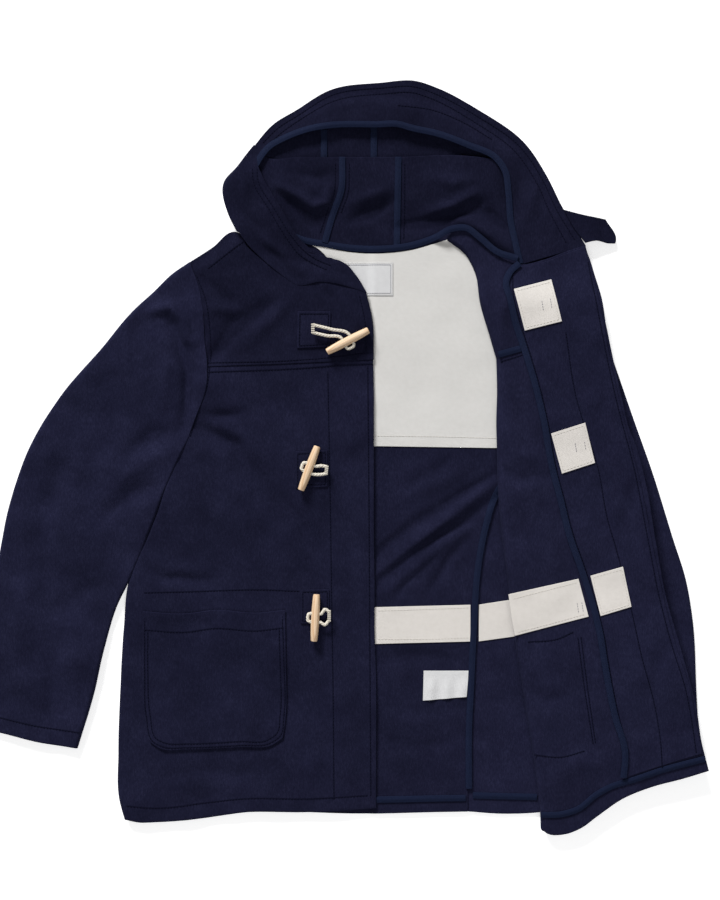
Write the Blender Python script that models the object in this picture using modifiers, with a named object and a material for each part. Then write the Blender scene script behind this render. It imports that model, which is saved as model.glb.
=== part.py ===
"""A short hooded duffle coat lying flat on its back, with one front folded over to show its inside.

Metres, +Z up. The origin is the middle of the coat's plan, on the surface that it lies on.
X runs across the coat and Y from the hem to the hood. The toggle side is the closed front, at -X,
and the loop side is the front that lies open, at +X.
"""

import math

import bmesh
import bpy
import numpy as np

# Cloth and trim
MELTON = 0.0022
FACING = 0.0016
TWILL = 0.0008
LABEL = 0.0006
TUCK = 0.0026
TAB = 0.0036
BINDING = 0.0014
BINDING_WIDTH = 0.0085
SEAM = 0.0003

# Heights of the undersides of the layers, where they lie flat
FRONT_LIFT = 0.0075
UNDER_LIFT = 0.0039
OPEN_LIFT = 0.0194
NECK_LIFT = 0.0104
HEM_DROP = 0.0080
CURVE_ROOM = 0.0005
HOOD_LIFT = 0.0056
HOOD_TURN_LIFT = 0.0129
HOOD_TURN_DROP = 0.0030
FACING_LIFT = 0.0030
FACING_RISE = 0.0070
TAB_DROP = 0.0070
REST = 0.0006
SLEEVE_AIR = 0.0053
HIDDEN_SLEEVE_AIR = 0.0014
HIDDEN_SLEEVE_LIFT = 0.0067

# Toggles and cords
TOGGLE_LENGTH = 0.061
TOGGLE_RADIUS = 0.0055
TOGGLE_END_RADIUS = 0.0044
TOGGLE_HOLE = 0.0026
TOGGLE_HOLE_OFFSET = 0.0055
CORD_RADIUS = 0.0022

for old in list(bpy.data.objects):
    bpy.data.objects.remove(old)
COAT = bpy.data.collections.new("duffle_coat")
CUTTERS = bpy.data.collections.new("duffle_coat_cutters")
bpy.context.scene.collection.children.link(COAT)
bpy.context.scene.collection.children.link(CUTTERS)


# ---------------------------------------------------------------- materials

def material(name, colour, roughness):
    made = bpy.data.materials.new(name)
    made.use_nodes = True
    shader = made.node_tree.nodes["Principled BSDF"]
    shader.inputs["Base Color"].default_value = (*colour, 1.0)
    shader.inputs["Roughness"].default_value = roughness
    shader.inputs["Metallic"].default_value = 0.0
    return made


NAVY = material("navy_melton", (0.013, 0.014, 0.032), 0.95)
BLUE = material("bias_binding", (0.013, 0.020, 0.060), 0.8)
CREAM = material("cotton_twill", (0.66, 0.64, 0.59), 0.9)
WHITE = material("woven_label", (0.70, 0.70, 0.70), 0.85)
WOOD = material("toggle_wood", (0.60, 0.42, 0.28), 0.55)
CORD = material("toggle_cord", (0.66, 0.60, 0.50), 0.9)


# ---------------------------------------------------------------- lines and plans

def ease(t):
    t = min(max(t, 0.0), 1.0)
    return t * t * (3.0 - 2.0 * t)


def smooth(points, times):
    """Points along the rounded line through the given ones, which it meets at the given times."""
    points = np.array(points, float)
    times = np.array(times, float)
    slopes = np.gradient(points, times, axis=0)

    def at(t):
        k = min(max(int(np.searchsorted(times, t)) - 1, 0), len(times) - 2)
        span = times[k + 1] - times[k]
        s = (t - times[k]) / span
        start = (1 + 2 * s) * (1 - s) ** 2 * points[k] + s * (1 - s) ** 2 * span * slopes[k]
        end = s * s * (3 - 2 * s) * points[k + 1] + s * s * (s - 1) * span * slopes[k + 1]
        return start + end

    return at


def line(points):
    """A rounded line through the points, as a function of 0 to 1 along its length."""
    points = np.array(points, float)
    steps = np.hypot(*np.diff(points, axis=0).T)
    return smooth(points, np.concatenate(([0], np.cumsum(steps))) / steps.sum())


def columns(rows):
    """The lines down each column of a table of rows, all keeping step with one another."""
    table = np.array(rows, float)
    steps = np.hypot(*np.diff(table.mean(axis=1), axis=0).T)
    times = np.concatenate(([0], np.cumsum(steps))) / steps.sum()
    return [smooth(table[:, k], times) for k in range(table.shape[1])]


def between(left, right):
    return lambda u, v: (1 - u) * left(v) + u * right(v)


def patch(left, right, bottom, top):
    """A plan filled between four edge lines: left and right run up, bottom and top run across."""
    def at(u, v):
        sides = (1 - u) * left(v) + u * right(v)
        ends = (1 - v) * bottom(u) + v * top(u)
        low = (1 - u) * bottom(0) + u * bottom(1)
        high = (1 - u) * top(0) + u * top(1)
        return sides + ends - (1 - v) * low - v * high
    return at


def quad(a, b, c, d):
    """A plan with four straight sides, from its corners: bottom left, bottom right, top left, top right."""
    a, b, c, d = (np.array(p, float) for p in (a, b, c, d))
    return lambda u, v: (1 - v) * ((1 - u) * a + u * b) + v * ((1 - u) * c + u * d)


def strip(route, width, shift=0.0):
    """A plan of even width along a line, moved sideways by shift to its right."""
    def at(u, v):
        ahead = route(min(v + 0.01, 1)) - route(max(v - 0.01, 0))
        ahead = ahead / np.hypot(*ahead)
        return route(v) + ((u - 0.5) * width + shift) * np.array((ahead[1], -ahead[0]))
    return at


# ---------------------------------------------------------------- making cloth

def add(name, bm, finish):
    mesh = bpy.data.meshes.new(name)
    bm.to_mesh(mesh)
    bm.free()
    mesh.shade_smooth()
    mesh.set_sharp_from_angle(angle=math.radians(40))
    mesh.materials.append(finish)
    piece = bpy.data.objects.new(name, mesh)
    COAT.objects.link(piece)
    return piece


def grid(across, along):
    bm = bmesh.new()
    bmesh.ops.create_grid(bm, x_segments=across, y_segments=along, size=0.5)
    return bm


def lay(name, plan, lie, thickness, across, along, finish):
    """A sheet over a plan, with its underside at the height that lie gives."""
    bm = grid(across, along)
    for vert in bm.verts:
        x, y = plan(vert.co.x + 0.5, vert.co.y + 0.5)
        vert.co = (x, y, lie(x, y))
    made = bmesh.ops.extrude_face_region(bm, geom=bm.faces[:], use_keep_orig=True)
    lifted = [part for part in made["geom"] if isinstance(part, bmesh.types.BMVert)]
    bmesh.ops.translate(bm, verts=lifted, vec=(0, 0, thickness))
    bmesh.ops.recalc_face_normals(bm, faces=bm.faces[:])
    return add(name, bm, finish)


def turned_row(runs, levels, counts, arc, v):
    """The points of one row across cloth that turns back on itself, in a half round, between runs."""
    ends = [(run(0, v), run(1, v)) for run in runs]
    lengths = [np.hypot(*(b - a)) for a, b in ends]
    radii = []
    for k in range(len(runs) - 1):
        x, y = ends[k][1]
        radii.append((levels[k + 1](x, y) - levels[k](x, y)) / 2)
    row = []
    for k, run in enumerate(runs):
        first = (abs(radii[k - 1]) + MELTON / 2) / lengths[k] if k > 0 else 0.0
        last = 1 - (abs(radii[k]) + MELTON / 2) / lengths[k] if k < len(radii) else 1.0
        if k > 0:
            edge = ends[k][0]
            start = run(first, v)
            back = (np.array(row[-1][:2]) + start) / 2
            reach = edge - back
            reach = reach * (1 - MELTON / 2 / np.hypot(*reach))
            low, high = row[-1][2], levels[k](*start)
            close = np.array(row[-1][:2])
            for step in range(1, arc):
                turn = math.pi * step / arc
                share = (1 - math.cos(turn)) / 2
                x, y = close * (1 - share) + start * share + reach * math.sin(turn)
                row.append((x, y, low * (1 - share) + high * share))
        for step in range(counts[k] + 1):
            x, y = run(first + (last - first) * step / counts[k], v)
            row.append((x, y, levels[k](x, y)))
    return row


def turned(name, runs, levels, counts, along, finish, arc=4, tube=False):
    """Cloth in layers, from the lowest, that joins in a half-round fold at the end of each layer."""
    across = sum(counts) + arc * (len(runs) - 1)
    bm = grid(across, along)
    rows = [turned_row(runs, levels, counts, arc, k / along) for k in range(along + 1)]
    for vert in bm.verts:
        column = round((vert.co.x + 0.5) * across)
        vert.co = rows[round((vert.co.y + 0.5) * along)][column]
    if tube:
        bmesh.ops.remove_doubles(bm, verts=bm.verts[:], dist=0.00005)
    piece = add(name, bm, finish)
    wall = piece.modifiers.new("cloth", "SOLIDIFY")
    wall.thickness = MELTON
    wall.offset = 0.0
    return piece


def flat(height):
    return lambda x, y: height


# ---------------------------------------------------------------- outlines, in rows of x and y

# Hem to armhole: hidden side seam, side fold, front edge
TOGGLE_FRONT = [
    ((-0.157, -0.463), (-0.281, -0.473), (0.047, -0.459)),
    ((-0.160, -0.447), (-0.287, -0.451), (0.047, -0.442)),
    ((-0.161, -0.387), (-0.289, -0.387), (0.047, -0.382)),
    ((-0.163, -0.295), (-0.286, -0.295), (0.047, -0.291)),
    ((-0.163, -0.224), (-0.282, -0.224), (0.045, -0.224)),
    ((-0.165, -0.165), (-0.276, -0.165), (0.045, -0.165)),
    ((-0.161, -0.096), (-0.248, -0.096), (0.044, -0.096)),
    ((-0.173, -0.031), (-0.225, -0.031), (0.044, -0.031)),
    ((-0.190, 0.026), (-0.203, 0.026), (0.044, 0.026)),
    ((-0.178, 0.055), (-0.191, 0.055), (0.044, 0.055)),
    ((-0.166, 0.086), (-0.179, 0.086), (0.044, 0.088)),
    ((-0.161, 0.116), (-0.174, 0.117), (0.043, 0.127)),
]
# Hem to yoke seam: side seam, hidden side fold, fold that shows, front edge
LOOP_FRONT = [
    ((0.166, -0.464), (0.377, -0.429), (0.261, -0.484), (0.478, -0.408)),
    ((0.166, -0.443), (0.373, -0.411), (0.260, -0.455), (0.473, -0.389)),
    ((0.166, -0.402), (0.367, -0.376), (0.255, -0.415), (0.468, -0.369)),
    ((0.168, -0.359), (0.357, -0.333), (0.247, -0.363), (0.461, -0.324)),
    ((0.170, -0.293), (0.347, -0.276), (0.237, -0.299), (0.442, -0.252)),
    ((0.174, -0.213), (0.338, -0.220), (0.226, -0.229), (0.422, -0.181)),
    ((0.178, -0.153), (0.328, -0.161), (0.218, -0.161), (0.409, -0.113)),
    ((0.190, -0.092), (0.316, -0.096), (0.209, -0.090), (0.398, -0.044)),
    ((0.205, -0.049), (0.308, -0.047), (0.205, -0.038), (0.385, 0.008)),
    ((0.239, -0.012), (0.303, -0.008), (0.204, 0.001), (0.373, 0.040)),
    ((0.286, 0.023), (0.299, 0.023), (0.203, 0.040), (0.365, 0.075)),
    ((0.272, 0.077), (0.285, 0.077), (0.204, 0.083), (0.354, 0.125)),
    ((0.261, 0.131), (0.274, 0.131), (0.203, 0.129), (0.343, 0.178)),
]
# Yoke seam to neck: back of the armhole turning, armhole, fold that shows, front edge
LOOP_YOKE = [
    ((0.261, 0.135), (0.274, 0.135), (0.203, 0.132), (0.343, 0.181)),
    ((0.264, 0.159), (0.277, 0.159), (0.194, 0.157), (0.339, 0.205)),
    ((0.273, 0.198), (0.286, 0.198), (0.182, 0.199), (0.331, 0.234)),
    ((0.282, 0.226), (0.295, 0.226), (0.176, 0.239), (0.325, 0.255)),
    ((0.289, 0.242), (0.302, 0.242), (0.163, 0.264), (0.321, 0.266)),
    ((0.292, 0.251), (0.305, 0.251), (0.139, 0.282), (0.319, 0.274)),
]

toggle_seam, toggle_fold, toggle_edge = columns(TOGGLE_FRONT)
loop_seam, hidden_fold, open_fold, loop_edge = columns(LOOP_FRONT)
yoke_turning, yoke_armhole, yoke_fold, yoke_edge = columns(LOOP_YOKE)

TOGGLE_HEM = line([(-0.281, -0.473), (-0.263, -0.477), (-0.240, -0.477), (-0.179, -0.472),
    (-0.121, -0.464), (-0.047, -0.464), (0.047, -0.459)])
TOGGLE_YOKE_SEAM = line([(-0.174, 0.117), (-0.065, 0.121), (0.043, 0.127)])
BACK_HEM = line([(-0.156, -0.463), (-0.052, -0.465), (0.013, -0.467), (0.112, -0.465), (0.165, -0.464)])
LOOP_UNDER_HEM = line([(0.166, -0.464), (0.212, -0.467), (0.261, -0.465), (0.325, -0.451),
    (0.377, -0.429)])
LOOP_HEM = line([
    (0.261, -0.484), (0.270, -0.491), (0.289, -0.492), (0.312, -0.484), (0.334, -0.468),
    (0.367, -0.445), (0.406, -0.429),
    (0.450, -0.417), (0.478, -0.408),
])
LOOP_YOKE_SEAM = line([(0.203, 0.129), (0.233, 0.138), (0.286, 0.157), (0.343, 0.178)])
LOOP_YOKE_BOTTOM = line([(0.203, 0.132), (0.233, 0.141), (0.286, 0.160), (0.343, 0.181)])
LOOP_NECK = line([
    (0.139, 0.282), (0.149, 0.294), (0.163, 0.296), (0.182, 0.279), (0.204, 0.261), (0.231, 0.249),
    (0.265, 0.255),
    (0.294, 0.266), (0.319, 0.274),
])

front_plan = patch(toggle_fold, toggle_edge, TOGGLE_HEM, TOGGLE_YOKE_SEAM)
open_plan = patch(open_fold, loop_edge, LOOP_HEM, LOOP_YOKE_SEAM)
yoke_open_plan = patch(yoke_fold, yoke_edge, LOOP_YOKE_BOTTOM, LOOP_NECK)


# ---------------------------------------------------------------- heights

FOLD_X = np.array(sorted((row[1][1], row[1][0]) for row in LOOP_FRONT))

# The largest soft folds of each panel: start x, start y, end x, end y, half width, height
BACK_FOLDS = [
    (*(0.198, -0.039), *(0.057, -0.148), 0.019, 0.0042),
    (*(0.169, -0.083), *(0.096, -0.159), 0.018, 0.0030),
]
FRONT_FOLDS = [
    (*(-0.183, 0.056), *(-0.114, 0.049), 0.020, 0.0022),
    (*(-0.182, 0.034), *(-0.094, -0.064), 0.026, 0.0030),
]
YOKE_FOLDS = [
    (*(-0.164, 0.135), *(-0.099, 0.187), 0.024, 0.0034),
    (*(-0.153, 0.203), *(-0.109, 0.182), 0.018, 0.0024),
]
SLEEVE_FOLDS = [
    (*(-0.250, 0.174), *(-0.203, 0.164), 0.022, 0.0050),
    (*(-0.203, 0.144), *(-0.224, 0.001), 0.022, -0.0030),
    (*(-0.281, 0.062), *(-0.265, -0.083), 0.028, 0.0022),
    (*(-0.390, -0.135), *(-0.419, -0.317), 0.034, 0.0018),
]


def off_segment(x, y, x0, y0, x1, y1):
    """How far a place is from a straight line, and how far along it, from 0 to 1."""
    dx, dy = x1 - x0, y1 - y0
    t = min(max(((x - x0) * dx + (y - y0) * dy) / (dx * dx + dy * dy), 0.0), 1.0)
    return math.hypot(x - x0 - t * dx, y - y0 - t * dy), t


def ridges(rows, x, y):
    height = 0.0
    for x0, y0, x1, y1, half_width, top in rows:
        away, t = off_segment(x, y, x0, y0, x1, y1)
        height += top * ease(1 - away / half_width) * math.sin(math.pi * (0.15 + 0.7 * t))
    return height


def back_lie(x, y):
    return ridges(BACK_FOLDS, x, y)


def on_back(x, y):
    return back_lie(x, y) + MELTON + SEAM


def on_front(x, y):
    return FRONT_LIFT + MELTON + SEAM


SHOULDER = (*(-0.194, 0.253), *(-0.135, 0.295))


def front_middle(x, y):
    return FRONT_LIFT + MELTON / 2 + ridges(FRONT_FOLDS, x, y)


def yoke_lie(x, y):
    """The toggle side's yoke comes down to the back along the shoulder."""
    away, _ = off_segment(x, y, *SHOULDER)
    drop = (FRONT_LIFT - MELTON - 2 * SEAM) * ease(1 - away / 0.018)
    return FRONT_LIFT - drop + ridges(YOKE_FOLDS, x, y)


def open_lie(x, y):
    """The opened front drops towards the neck and towards the hem."""
    return OPEN_LIFT - (OPEN_LIFT - NECK_LIFT) * neck_drop(y) - HEM_DROP * hem_drop(y)


def neck_drop(y):
    return ease((y - 0.190) / 0.065)


def hem_drop(y):
    return ease((-0.367 - y) / 0.128)


def on_open(x, y):
    """What lies on the opened front has a little more room where the front curves."""
    curved = ease((y - 0.164) / 0.020) + ease((-0.324 - y) / 0.020)
    return open_lie(x, y) + MELTON + SEAM + CURVE_ROOM * curved


def under_open(depth):
    return lambda x, y: open_lie(x, y) - SEAM - depth


def middle(lie):
    return lambda x, y: lie(x, y) + MELTON / 2


def hood_lie(x, y):
    """The hood's lower part rises from the neck to the fold that lies over its crown."""
    rise = ease((y - 0.304) / 0.057)
    return HOOD_LIFT * rise * ease((0.227 - x) / 0.026) * ease((x - -0.101) / 0.033)


def on_hood(x, y):
    return hood_lie(x, y) + MELTON + SEAM


RIM = [(-0.112, 0.404), (-0.088, 0.432), (-0.056, 0.452), (-0.014, 0.477), (0.055, 0.487),
    (0.099, 0.489), (0.127, 0.480), (0.183, 0.450),
       (0.240, 0.409), (0.270, 0.365), (0.289, 0.325), (0.319, 0.277)]


def from_rim(x, y):
    return min(off_segment(x, y, *a, *b)[0] for a, b in zip(RIM, RIM[1:]))


def facing_lie(x, y):
    """The hood's facing stands off the hood towards its bound edge and towards the throat."""
    inner = FACING_RISE * ease(from_rim(x, y) / 0.040)
    throat = (NECK_LIFT - FACING_LIFT) * ease((0.372 - y) / 0.080) * ease((x - 0.208) / 0.020)
    return FACING_LIFT + max(inner, throat)


def hood_turn_middle(x, y):
    """The side of the hood that turns over to show its outside stands up from the neck seam."""
    rise = ease((y - 0.252) / 0.045) * ease((0.385 - y) / 0.030 + 0.35)
    drop = HOOD_TURN_DROP * ease((y - 0.352) / 0.040)
    return FRONT_LIFT + MELTON / 2 + (HOOD_TURN_LIFT - FRONT_LIFT) * rise - drop


def hidden_sleeve_lie(x, y):
    """The loop side's sleeve lies over the body's side fold and falls to the surface beyond it."""
    side = float(np.interp(y, FOLD_X[:, 0], FOLD_X[:, 1]))
    over = ease((side + 0.040 - x) / 0.022) * ease((0.151 - y) / 0.070)
    return REST + (HIDDEN_SLEEVE_LIFT - REST) * over


# ---------------------------------------------------------------- body

def make_back():
    left = line([
        (-0.156, -0.463), (-0.159, -0.387), (-0.161, -0.295), (-0.161, -0.224), (-0.163, -0.165),
        (-0.159, -0.096), (-0.170, -0.031),
        (-0.181, 0.025), (-0.170, 0.053), (-0.159, 0.086), (-0.153, 0.112), (-0.166, 0.131),
        (-0.172, 0.147), (-0.174, 0.183),
        (-0.179, 0.220), (-0.191, 0.251),
    ])
    right = line([
        (0.165, -0.464), (0.165, -0.402), (0.166, -0.359), (0.169, -0.293), (0.173, -0.213),
        (0.176, -0.153), (0.187, -0.092),
        (0.198, -0.053), (0.225, -0.013), (0.264, 0.023), (0.261, 0.077), (0.252, 0.131),
        (0.256, 0.159), (0.267, 0.198),
        (0.277, 0.226), (0.287, 0.250),
    ])
    top = line([
        (-0.191, 0.251), (-0.166, 0.268), (-0.136, 0.290), (-0.101, 0.290), (-0.052, 0.288),
        (-0.018, 0.276), (0.036, 0.268),
        (0.091, 0.272), (0.130, 0.285), (0.146, 0.291), (0.182, 0.276), (0.204, 0.257),
        (0.234, 0.246), (0.267, 0.251),
        (0.287, 0.250),
    ])
    lay("back_panel", patch(left, right, BACK_HEM, top), back_lie, MELTON, 18, 22, NAVY)


def make_toggle_side():
    turned("front_toggle_side", [between(toggle_seam, toggle_fold), front_plan],
           [flat(MELTON / 2), front_middle], [2, 11], 16, NAVY)
    armhole = line([(-0.174, 0.120), (-0.175, 0.147), (-0.177, 0.183), (-0.182, 0.220),
        (-0.192, 0.253)])
    neck = line([
        (-0.192, 0.253), (-0.166, 0.272), (-0.139, 0.292), (-0.135, 0.292), (-0.121, 0.273),
        (-0.097, 0.252), (-0.075, 0.235),
        (-0.055, 0.222), (-0.026, 0.227), (0.017, 0.220), (0.034, 0.213),
    ])
    edge = line([(0.043, 0.131), (0.042, 0.179), (0.034, 0.213)])
    seam = line([(-0.174, 0.120), (-0.065, 0.125), (0.043, 0.131)])
    lay("yoke_toggle_side", patch(armhole, edge, seam, neck), yoke_lie, MELTON, 14, 7, NAVY)


def straight(a, b):
    a, b = np.array(a, float), np.array(b, float)
    return lambda t: a + (b - a) * t


def make_loop_side():
    under = patch(loop_seam, hidden_fold, LOOP_UNDER_HEM, straight(loop_seam(1), hidden_fold(1)))
    levels = [flat(MELTON / 2), flat(UNDER_LIFT + MELTON / 2), middle(open_lie)]
    turned("front_loop_side", [under, between(hidden_fold, open_fold), open_plan],
           levels, [3, 3, 7], 14, NAVY)
    turned("yoke_loop_side", [between(yoke_turning, yoke_armhole), between(yoke_armhole, yoke_fold),
                              yoke_open_plan], levels, [1, 4, 7], 10, NAVY)


def sleeve(name, plan, lie, air, across, along, folds=()):
    """A flattened tube: from the middle of its underside out, over the top and back under."""
    def lower(x, y):
        return lie(x, y) + MELTON / 2

    def upper(x, y):
        return lower(x, y) + air + MELTON + ridges(folds, x, y)

    turned(name, [lambda s, v: plan(0.5 - 0.5 * s, v), plan, lambda s, v: plan(1 - 0.5 * s, v)],
           [lower, upper, lower], [across // 2, across, across // 2], along, NAVY, tube=True)


def make_sleeves():
    outer = line([
        (-0.478, -0.354), (-0.468, -0.272), (-0.455, -0.187), (-0.442, -0.118), (-0.430, -0.061),
        (-0.406, 0.008), (-0.368, 0.073), (-0.309, 0.142),
        (-0.269, 0.190), (-0.243, 0.214), (-0.218, 0.238), (-0.196, 0.253),
    ])
    inner = line([
        (-0.343, -0.381), (-0.322, -0.312), (-0.308, -0.250), (-0.292, -0.196), (-0.279, -0.165),
        (-0.252, -0.096), (-0.227, -0.031),
        (-0.205, 0.026),
    ])
    cuff = line([(-0.478, -0.354), (-0.442, -0.361), (-0.393, -0.373), (-0.343, -0.381)])
    armhole = line([
        (-0.196, 0.253), (-0.186, 0.220), (-0.180, 0.183), (-0.179, 0.147), (-0.179, 0.122),
        (-0.184, 0.086), (-0.195, 0.055),
        (-0.205, 0.026),
    ])
    sleeve("sleeve_toggle_side", patch(outer, inner, cuff, armhole), flat(0.0), SLEEVE_AIR, 8, 14,
           SLEEVE_FOLDS)
    outer = line([
        (0.469, -0.385), (0.465, -0.307), (0.460, -0.213), (0.451, -0.161), (0.434, -0.107),
        (0.407, -0.020), (0.385, 0.042),
        (0.354, 0.131), (0.328, 0.203), (0.308, 0.249),
    ])
    inner = line([
        (0.333, -0.391), (0.317, -0.317), (0.300, -0.239), (0.291, -0.148), (0.292, -0.083),
        (0.297, -0.025), (0.302, 0.023),
    ])
    cuff = line([(0.469, -0.385), (0.403, -0.391), (0.333, -0.391)])
    armhole = line([(0.308, 0.249), (0.289, 0.203), (0.279, 0.157), (0.278, 0.130), (0.288, 0.077),
        (0.302, 0.023)])
    mirrored = patch(inner, outer, line([(0.333, -0.391), (0.403, -0.391), (0.469, -0.385)]),
                     lambda t: armhole(1 - t))
    sleeve("sleeve_loop_side", mirrored, hidden_sleeve_lie, HIDDEN_SLEEVE_AIR, 4, 10)


def make_pockets():
    left = line([(-0.247, -0.372), (-0.255, -0.337), (-0.257, -0.280), (-0.257, -0.202)])
    right = line([(-0.074, -0.367), (-0.070, -0.337), (-0.070, -0.268), (-0.071, -0.200)])
    bottom = line([(-0.247, -0.372), (-0.233, -0.381), (-0.200, -0.382), (-0.130, -0.379),
        (-0.090, -0.377), (-0.074, -0.367)])
    top = line([(-0.257, -0.202), (-0.071, -0.200)])
    lay("pocket_toggle_side", patch(left, right, bottom, top), on_front, MELTON, 8, 6, NAVY)
    lay("pocket_loop_side", quad((0.281, -0.385), (0.325, -0.363), (0.247, -0.239), (0.309, -0.224)),
        under_open(MELTON + CURVE_ROOM), MELTON, 4, 6, NAVY)


def make_facing():
    left = line([
        (0.369, -0.417), (0.370, -0.386), (0.356, -0.334), (0.343, -0.267), (0.338, -0.235),
        (0.326, -0.186), (0.313, -0.146),
        (0.299, -0.107), (0.286, -0.056), (0.276, -0.013), (0.264, 0.048), (0.252, 0.097),
        (0.239, 0.140), (0.229, 0.173),
        (0.221, 0.203), (0.218, 0.224), (0.233, 0.246),
    ])
    right = line([
        (0.469, -0.385), (0.461, -0.346), (0.454, -0.304), (0.437, -0.252), (0.420, -0.187),
        (0.404, -0.113), (0.391, -0.044),
        (0.378, 0.008), (0.361, 0.075), (0.350, 0.125), (0.337, 0.196), (0.328, 0.234), (0.317, 0.271),
    ])
    bottom = line([(0.369, -0.417), (0.420, -0.400), (0.469, -0.385)])
    top = line([(0.233, 0.246), (0.265, 0.252), (0.294, 0.263), (0.317, 0.271)])
    lay("facing_loop_side", patch(left, right, bottom, top), on_open, FACING, 6, 26, NAVY)


# ---------------------------------------------------------------- hood

def tab_lie(x, y):
    """The throat tab falls from the hood's edge to the surface."""
    return FACING_LIFT + TAB_DROP * ease((0.360 - x) / 0.035)


def make_hood():
    left_seam = line([(-0.019, 0.281), (-0.010, 0.315), (0.000, 0.343), (0.003, 0.389)])
    left_seam_inner = line([(-0.018, 0.281), (-0.009, 0.315), (0.001, 0.343), (0.004, 0.389)])
    right_seam = line([(0.073, 0.274), (0.074, 0.333), (0.075, 0.389)])
    right_seam_inner = line([(0.074, 0.274), (0.075, 0.333), (0.077, 0.389)])
    lay("hood_back_centre",
        patch(left_seam_inner, right_seam, line([(-0.018, 0.281), (0.036, 0.272), (0.073, 0.274)]),
              line([(0.004, 0.389), (0.039, 0.389), (0.075, 0.389)])),
        hood_lie, MELTON, 4, 8, NAVY)
    silhouette = line([(0.319, 0.277), (0.294, 0.316), (0.272, 0.361), (0.267, 0.370)])
    neck = line([(0.074, 0.274), (0.091, 0.277), (0.130, 0.290), (0.146, 0.298), (0.163, 0.298),
        (0.182, 0.282),
                 (0.204, 0.264), (0.231, 0.251), (0.265, 0.259), (0.294, 0.269), (0.319, 0.277)])
    crown = line([(0.077, 0.389), (0.159, 0.391), (0.198, 0.387), (0.267, 0.370)])
    lay("hood_back_loop_side", patch(right_seam_inner, silhouette, neck, crown), hood_lie, MELTON, 12,
        8, NAVY)

    fold = line([(-0.135, 0.296), (-0.146, 0.318), (-0.151, 0.357), (-0.133, 0.377), (-0.118, 0.393)])
    under_neck = line([(-0.135, 0.296), (-0.101, 0.295), (-0.052, 0.293), (-0.019, 0.281)])
    under_crown = line([(-0.118, 0.393), (-0.101, 0.385), (-0.052, 0.389), (0.003, 0.389)])
    rim = line([(0.034, 0.216), (0.019, 0.238), (0.004, 0.252), (-0.010, 0.254), (-0.029, 0.263),
        (-0.051, 0.281), (-0.078, 0.324),
                (-0.099, 0.364), (-0.101, 0.382)])
    turned_neck = line([(-0.135, 0.296), (-0.118, 0.276), (-0.096, 0.255), (-0.075, 0.238),
        (-0.055, 0.225), (-0.026, 0.231),
                        (0.017, 0.223), (0.034, 0.216)])
    under = patch(fold, left_seam, under_neck, under_crown)
    turned("hood_side_toggle_side",
           [lambda s, v: under(1 - s, v),
            patch(fold, rim, turned_neck, straight(fold(1), rim(1)))],
           [middle(hood_lie), hood_turn_middle], [4, 6], 9, NAVY)

    lay("hood_crown_toggle_side",
        patch(line([(-0.101, 0.396), (-0.112, 0.404)]),
        line([(-0.021, 0.369), (-0.022, 0.424), (-0.023, 0.472)]),
              line([(-0.101, 0.396), (-0.084, 0.394), (-0.062, 0.377), (-0.021, 0.369)]),
              line([(-0.112, 0.404), (-0.088, 0.432), (-0.056, 0.452), (-0.023, 0.472)])),
        flat(0.0), MELTON, 6, 5, NAVY)
    lay("hood_crown_centre",
        patch(line([(-0.020, 0.369), (-0.021, 0.424), (-0.022, 0.473)]),
        line([(0.043, 0.369), (0.043, 0.424), (0.043, 0.486)]),
              line([(-0.020, 0.369), (0.043, 0.369)]),
              line([(-0.022, 0.473), (0.006, 0.481), (0.043, 0.486)])),
        flat(0.0), MELTON, 3, 5, NAVY)
    lay("hood_crown_loop_side",
        patch(line([(0.044, 0.369), (0.044, 0.424), (0.044, 0.486)]),
        line([(0.268, 0.374), (0.255, 0.393), (0.240, 0.409)]),
              line([(0.044, 0.369), (0.130, 0.370), (0.179, 0.374), (0.200, 0.391), (0.227, 0.385),
              (0.268, 0.374)]),
              line([(0.044, 0.486), (0.099, 0.489), (0.127, 0.480), (0.183, 0.450), (0.240, 0.409)])),
        flat(0.0), MELTON, 10, 5, NAVY)
    lay("hood_tuck", quad((-0.056, 0.354), (0.174, 0.354), (-0.056, 0.387), (0.174, 0.387)),
        flat(MELTON + SEAM), TUCK, 6, 2, NAVY)

    outer = line([(-0.112, 0.404)] + RIM[1:])
    inner = line([(-0.097, 0.398), (-0.084, 0.409), (-0.025, 0.427), (0.036, 0.432), (0.084, 0.431),
        (0.127, 0.420),
                  (0.168, 0.403), (0.204, 0.388), (0.217, 0.369), (0.222, 0.339), (0.224, 0.305),
                  (0.230, 0.277), (0.237, 0.253)])
    lay("hood_facing",
        patch(outer, inner, straight(outer(0), inner(0)), straight(outer(1), inner(1))),
        facing_lie, FACING, 3, 30, NAVY)
    lay("throat_tab",
        patch(line([(0.322, 0.277), (0.308, 0.296), (0.296, 0.315)]),
        line([(0.359, 0.277), (0.360, 0.282), (0.346, 0.305)]),
              line([(0.322, 0.277), (0.334, 0.280), (0.350, 0.277), (0.359, 0.277)]),
              line([(0.296, 0.315), (0.319, 0.312), (0.346, 0.305)])),
        tab_lie, TAB, 5, 4, NAVY)


# ---------------------------------------------------------------- lining, tape, labels and squares

def on_facing(x, y):
    return on_open(x, y) + FACING + 4 * SEAM


def on_lining(x, y):
    return on_back(x, y) + TWILL + SEAM


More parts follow.
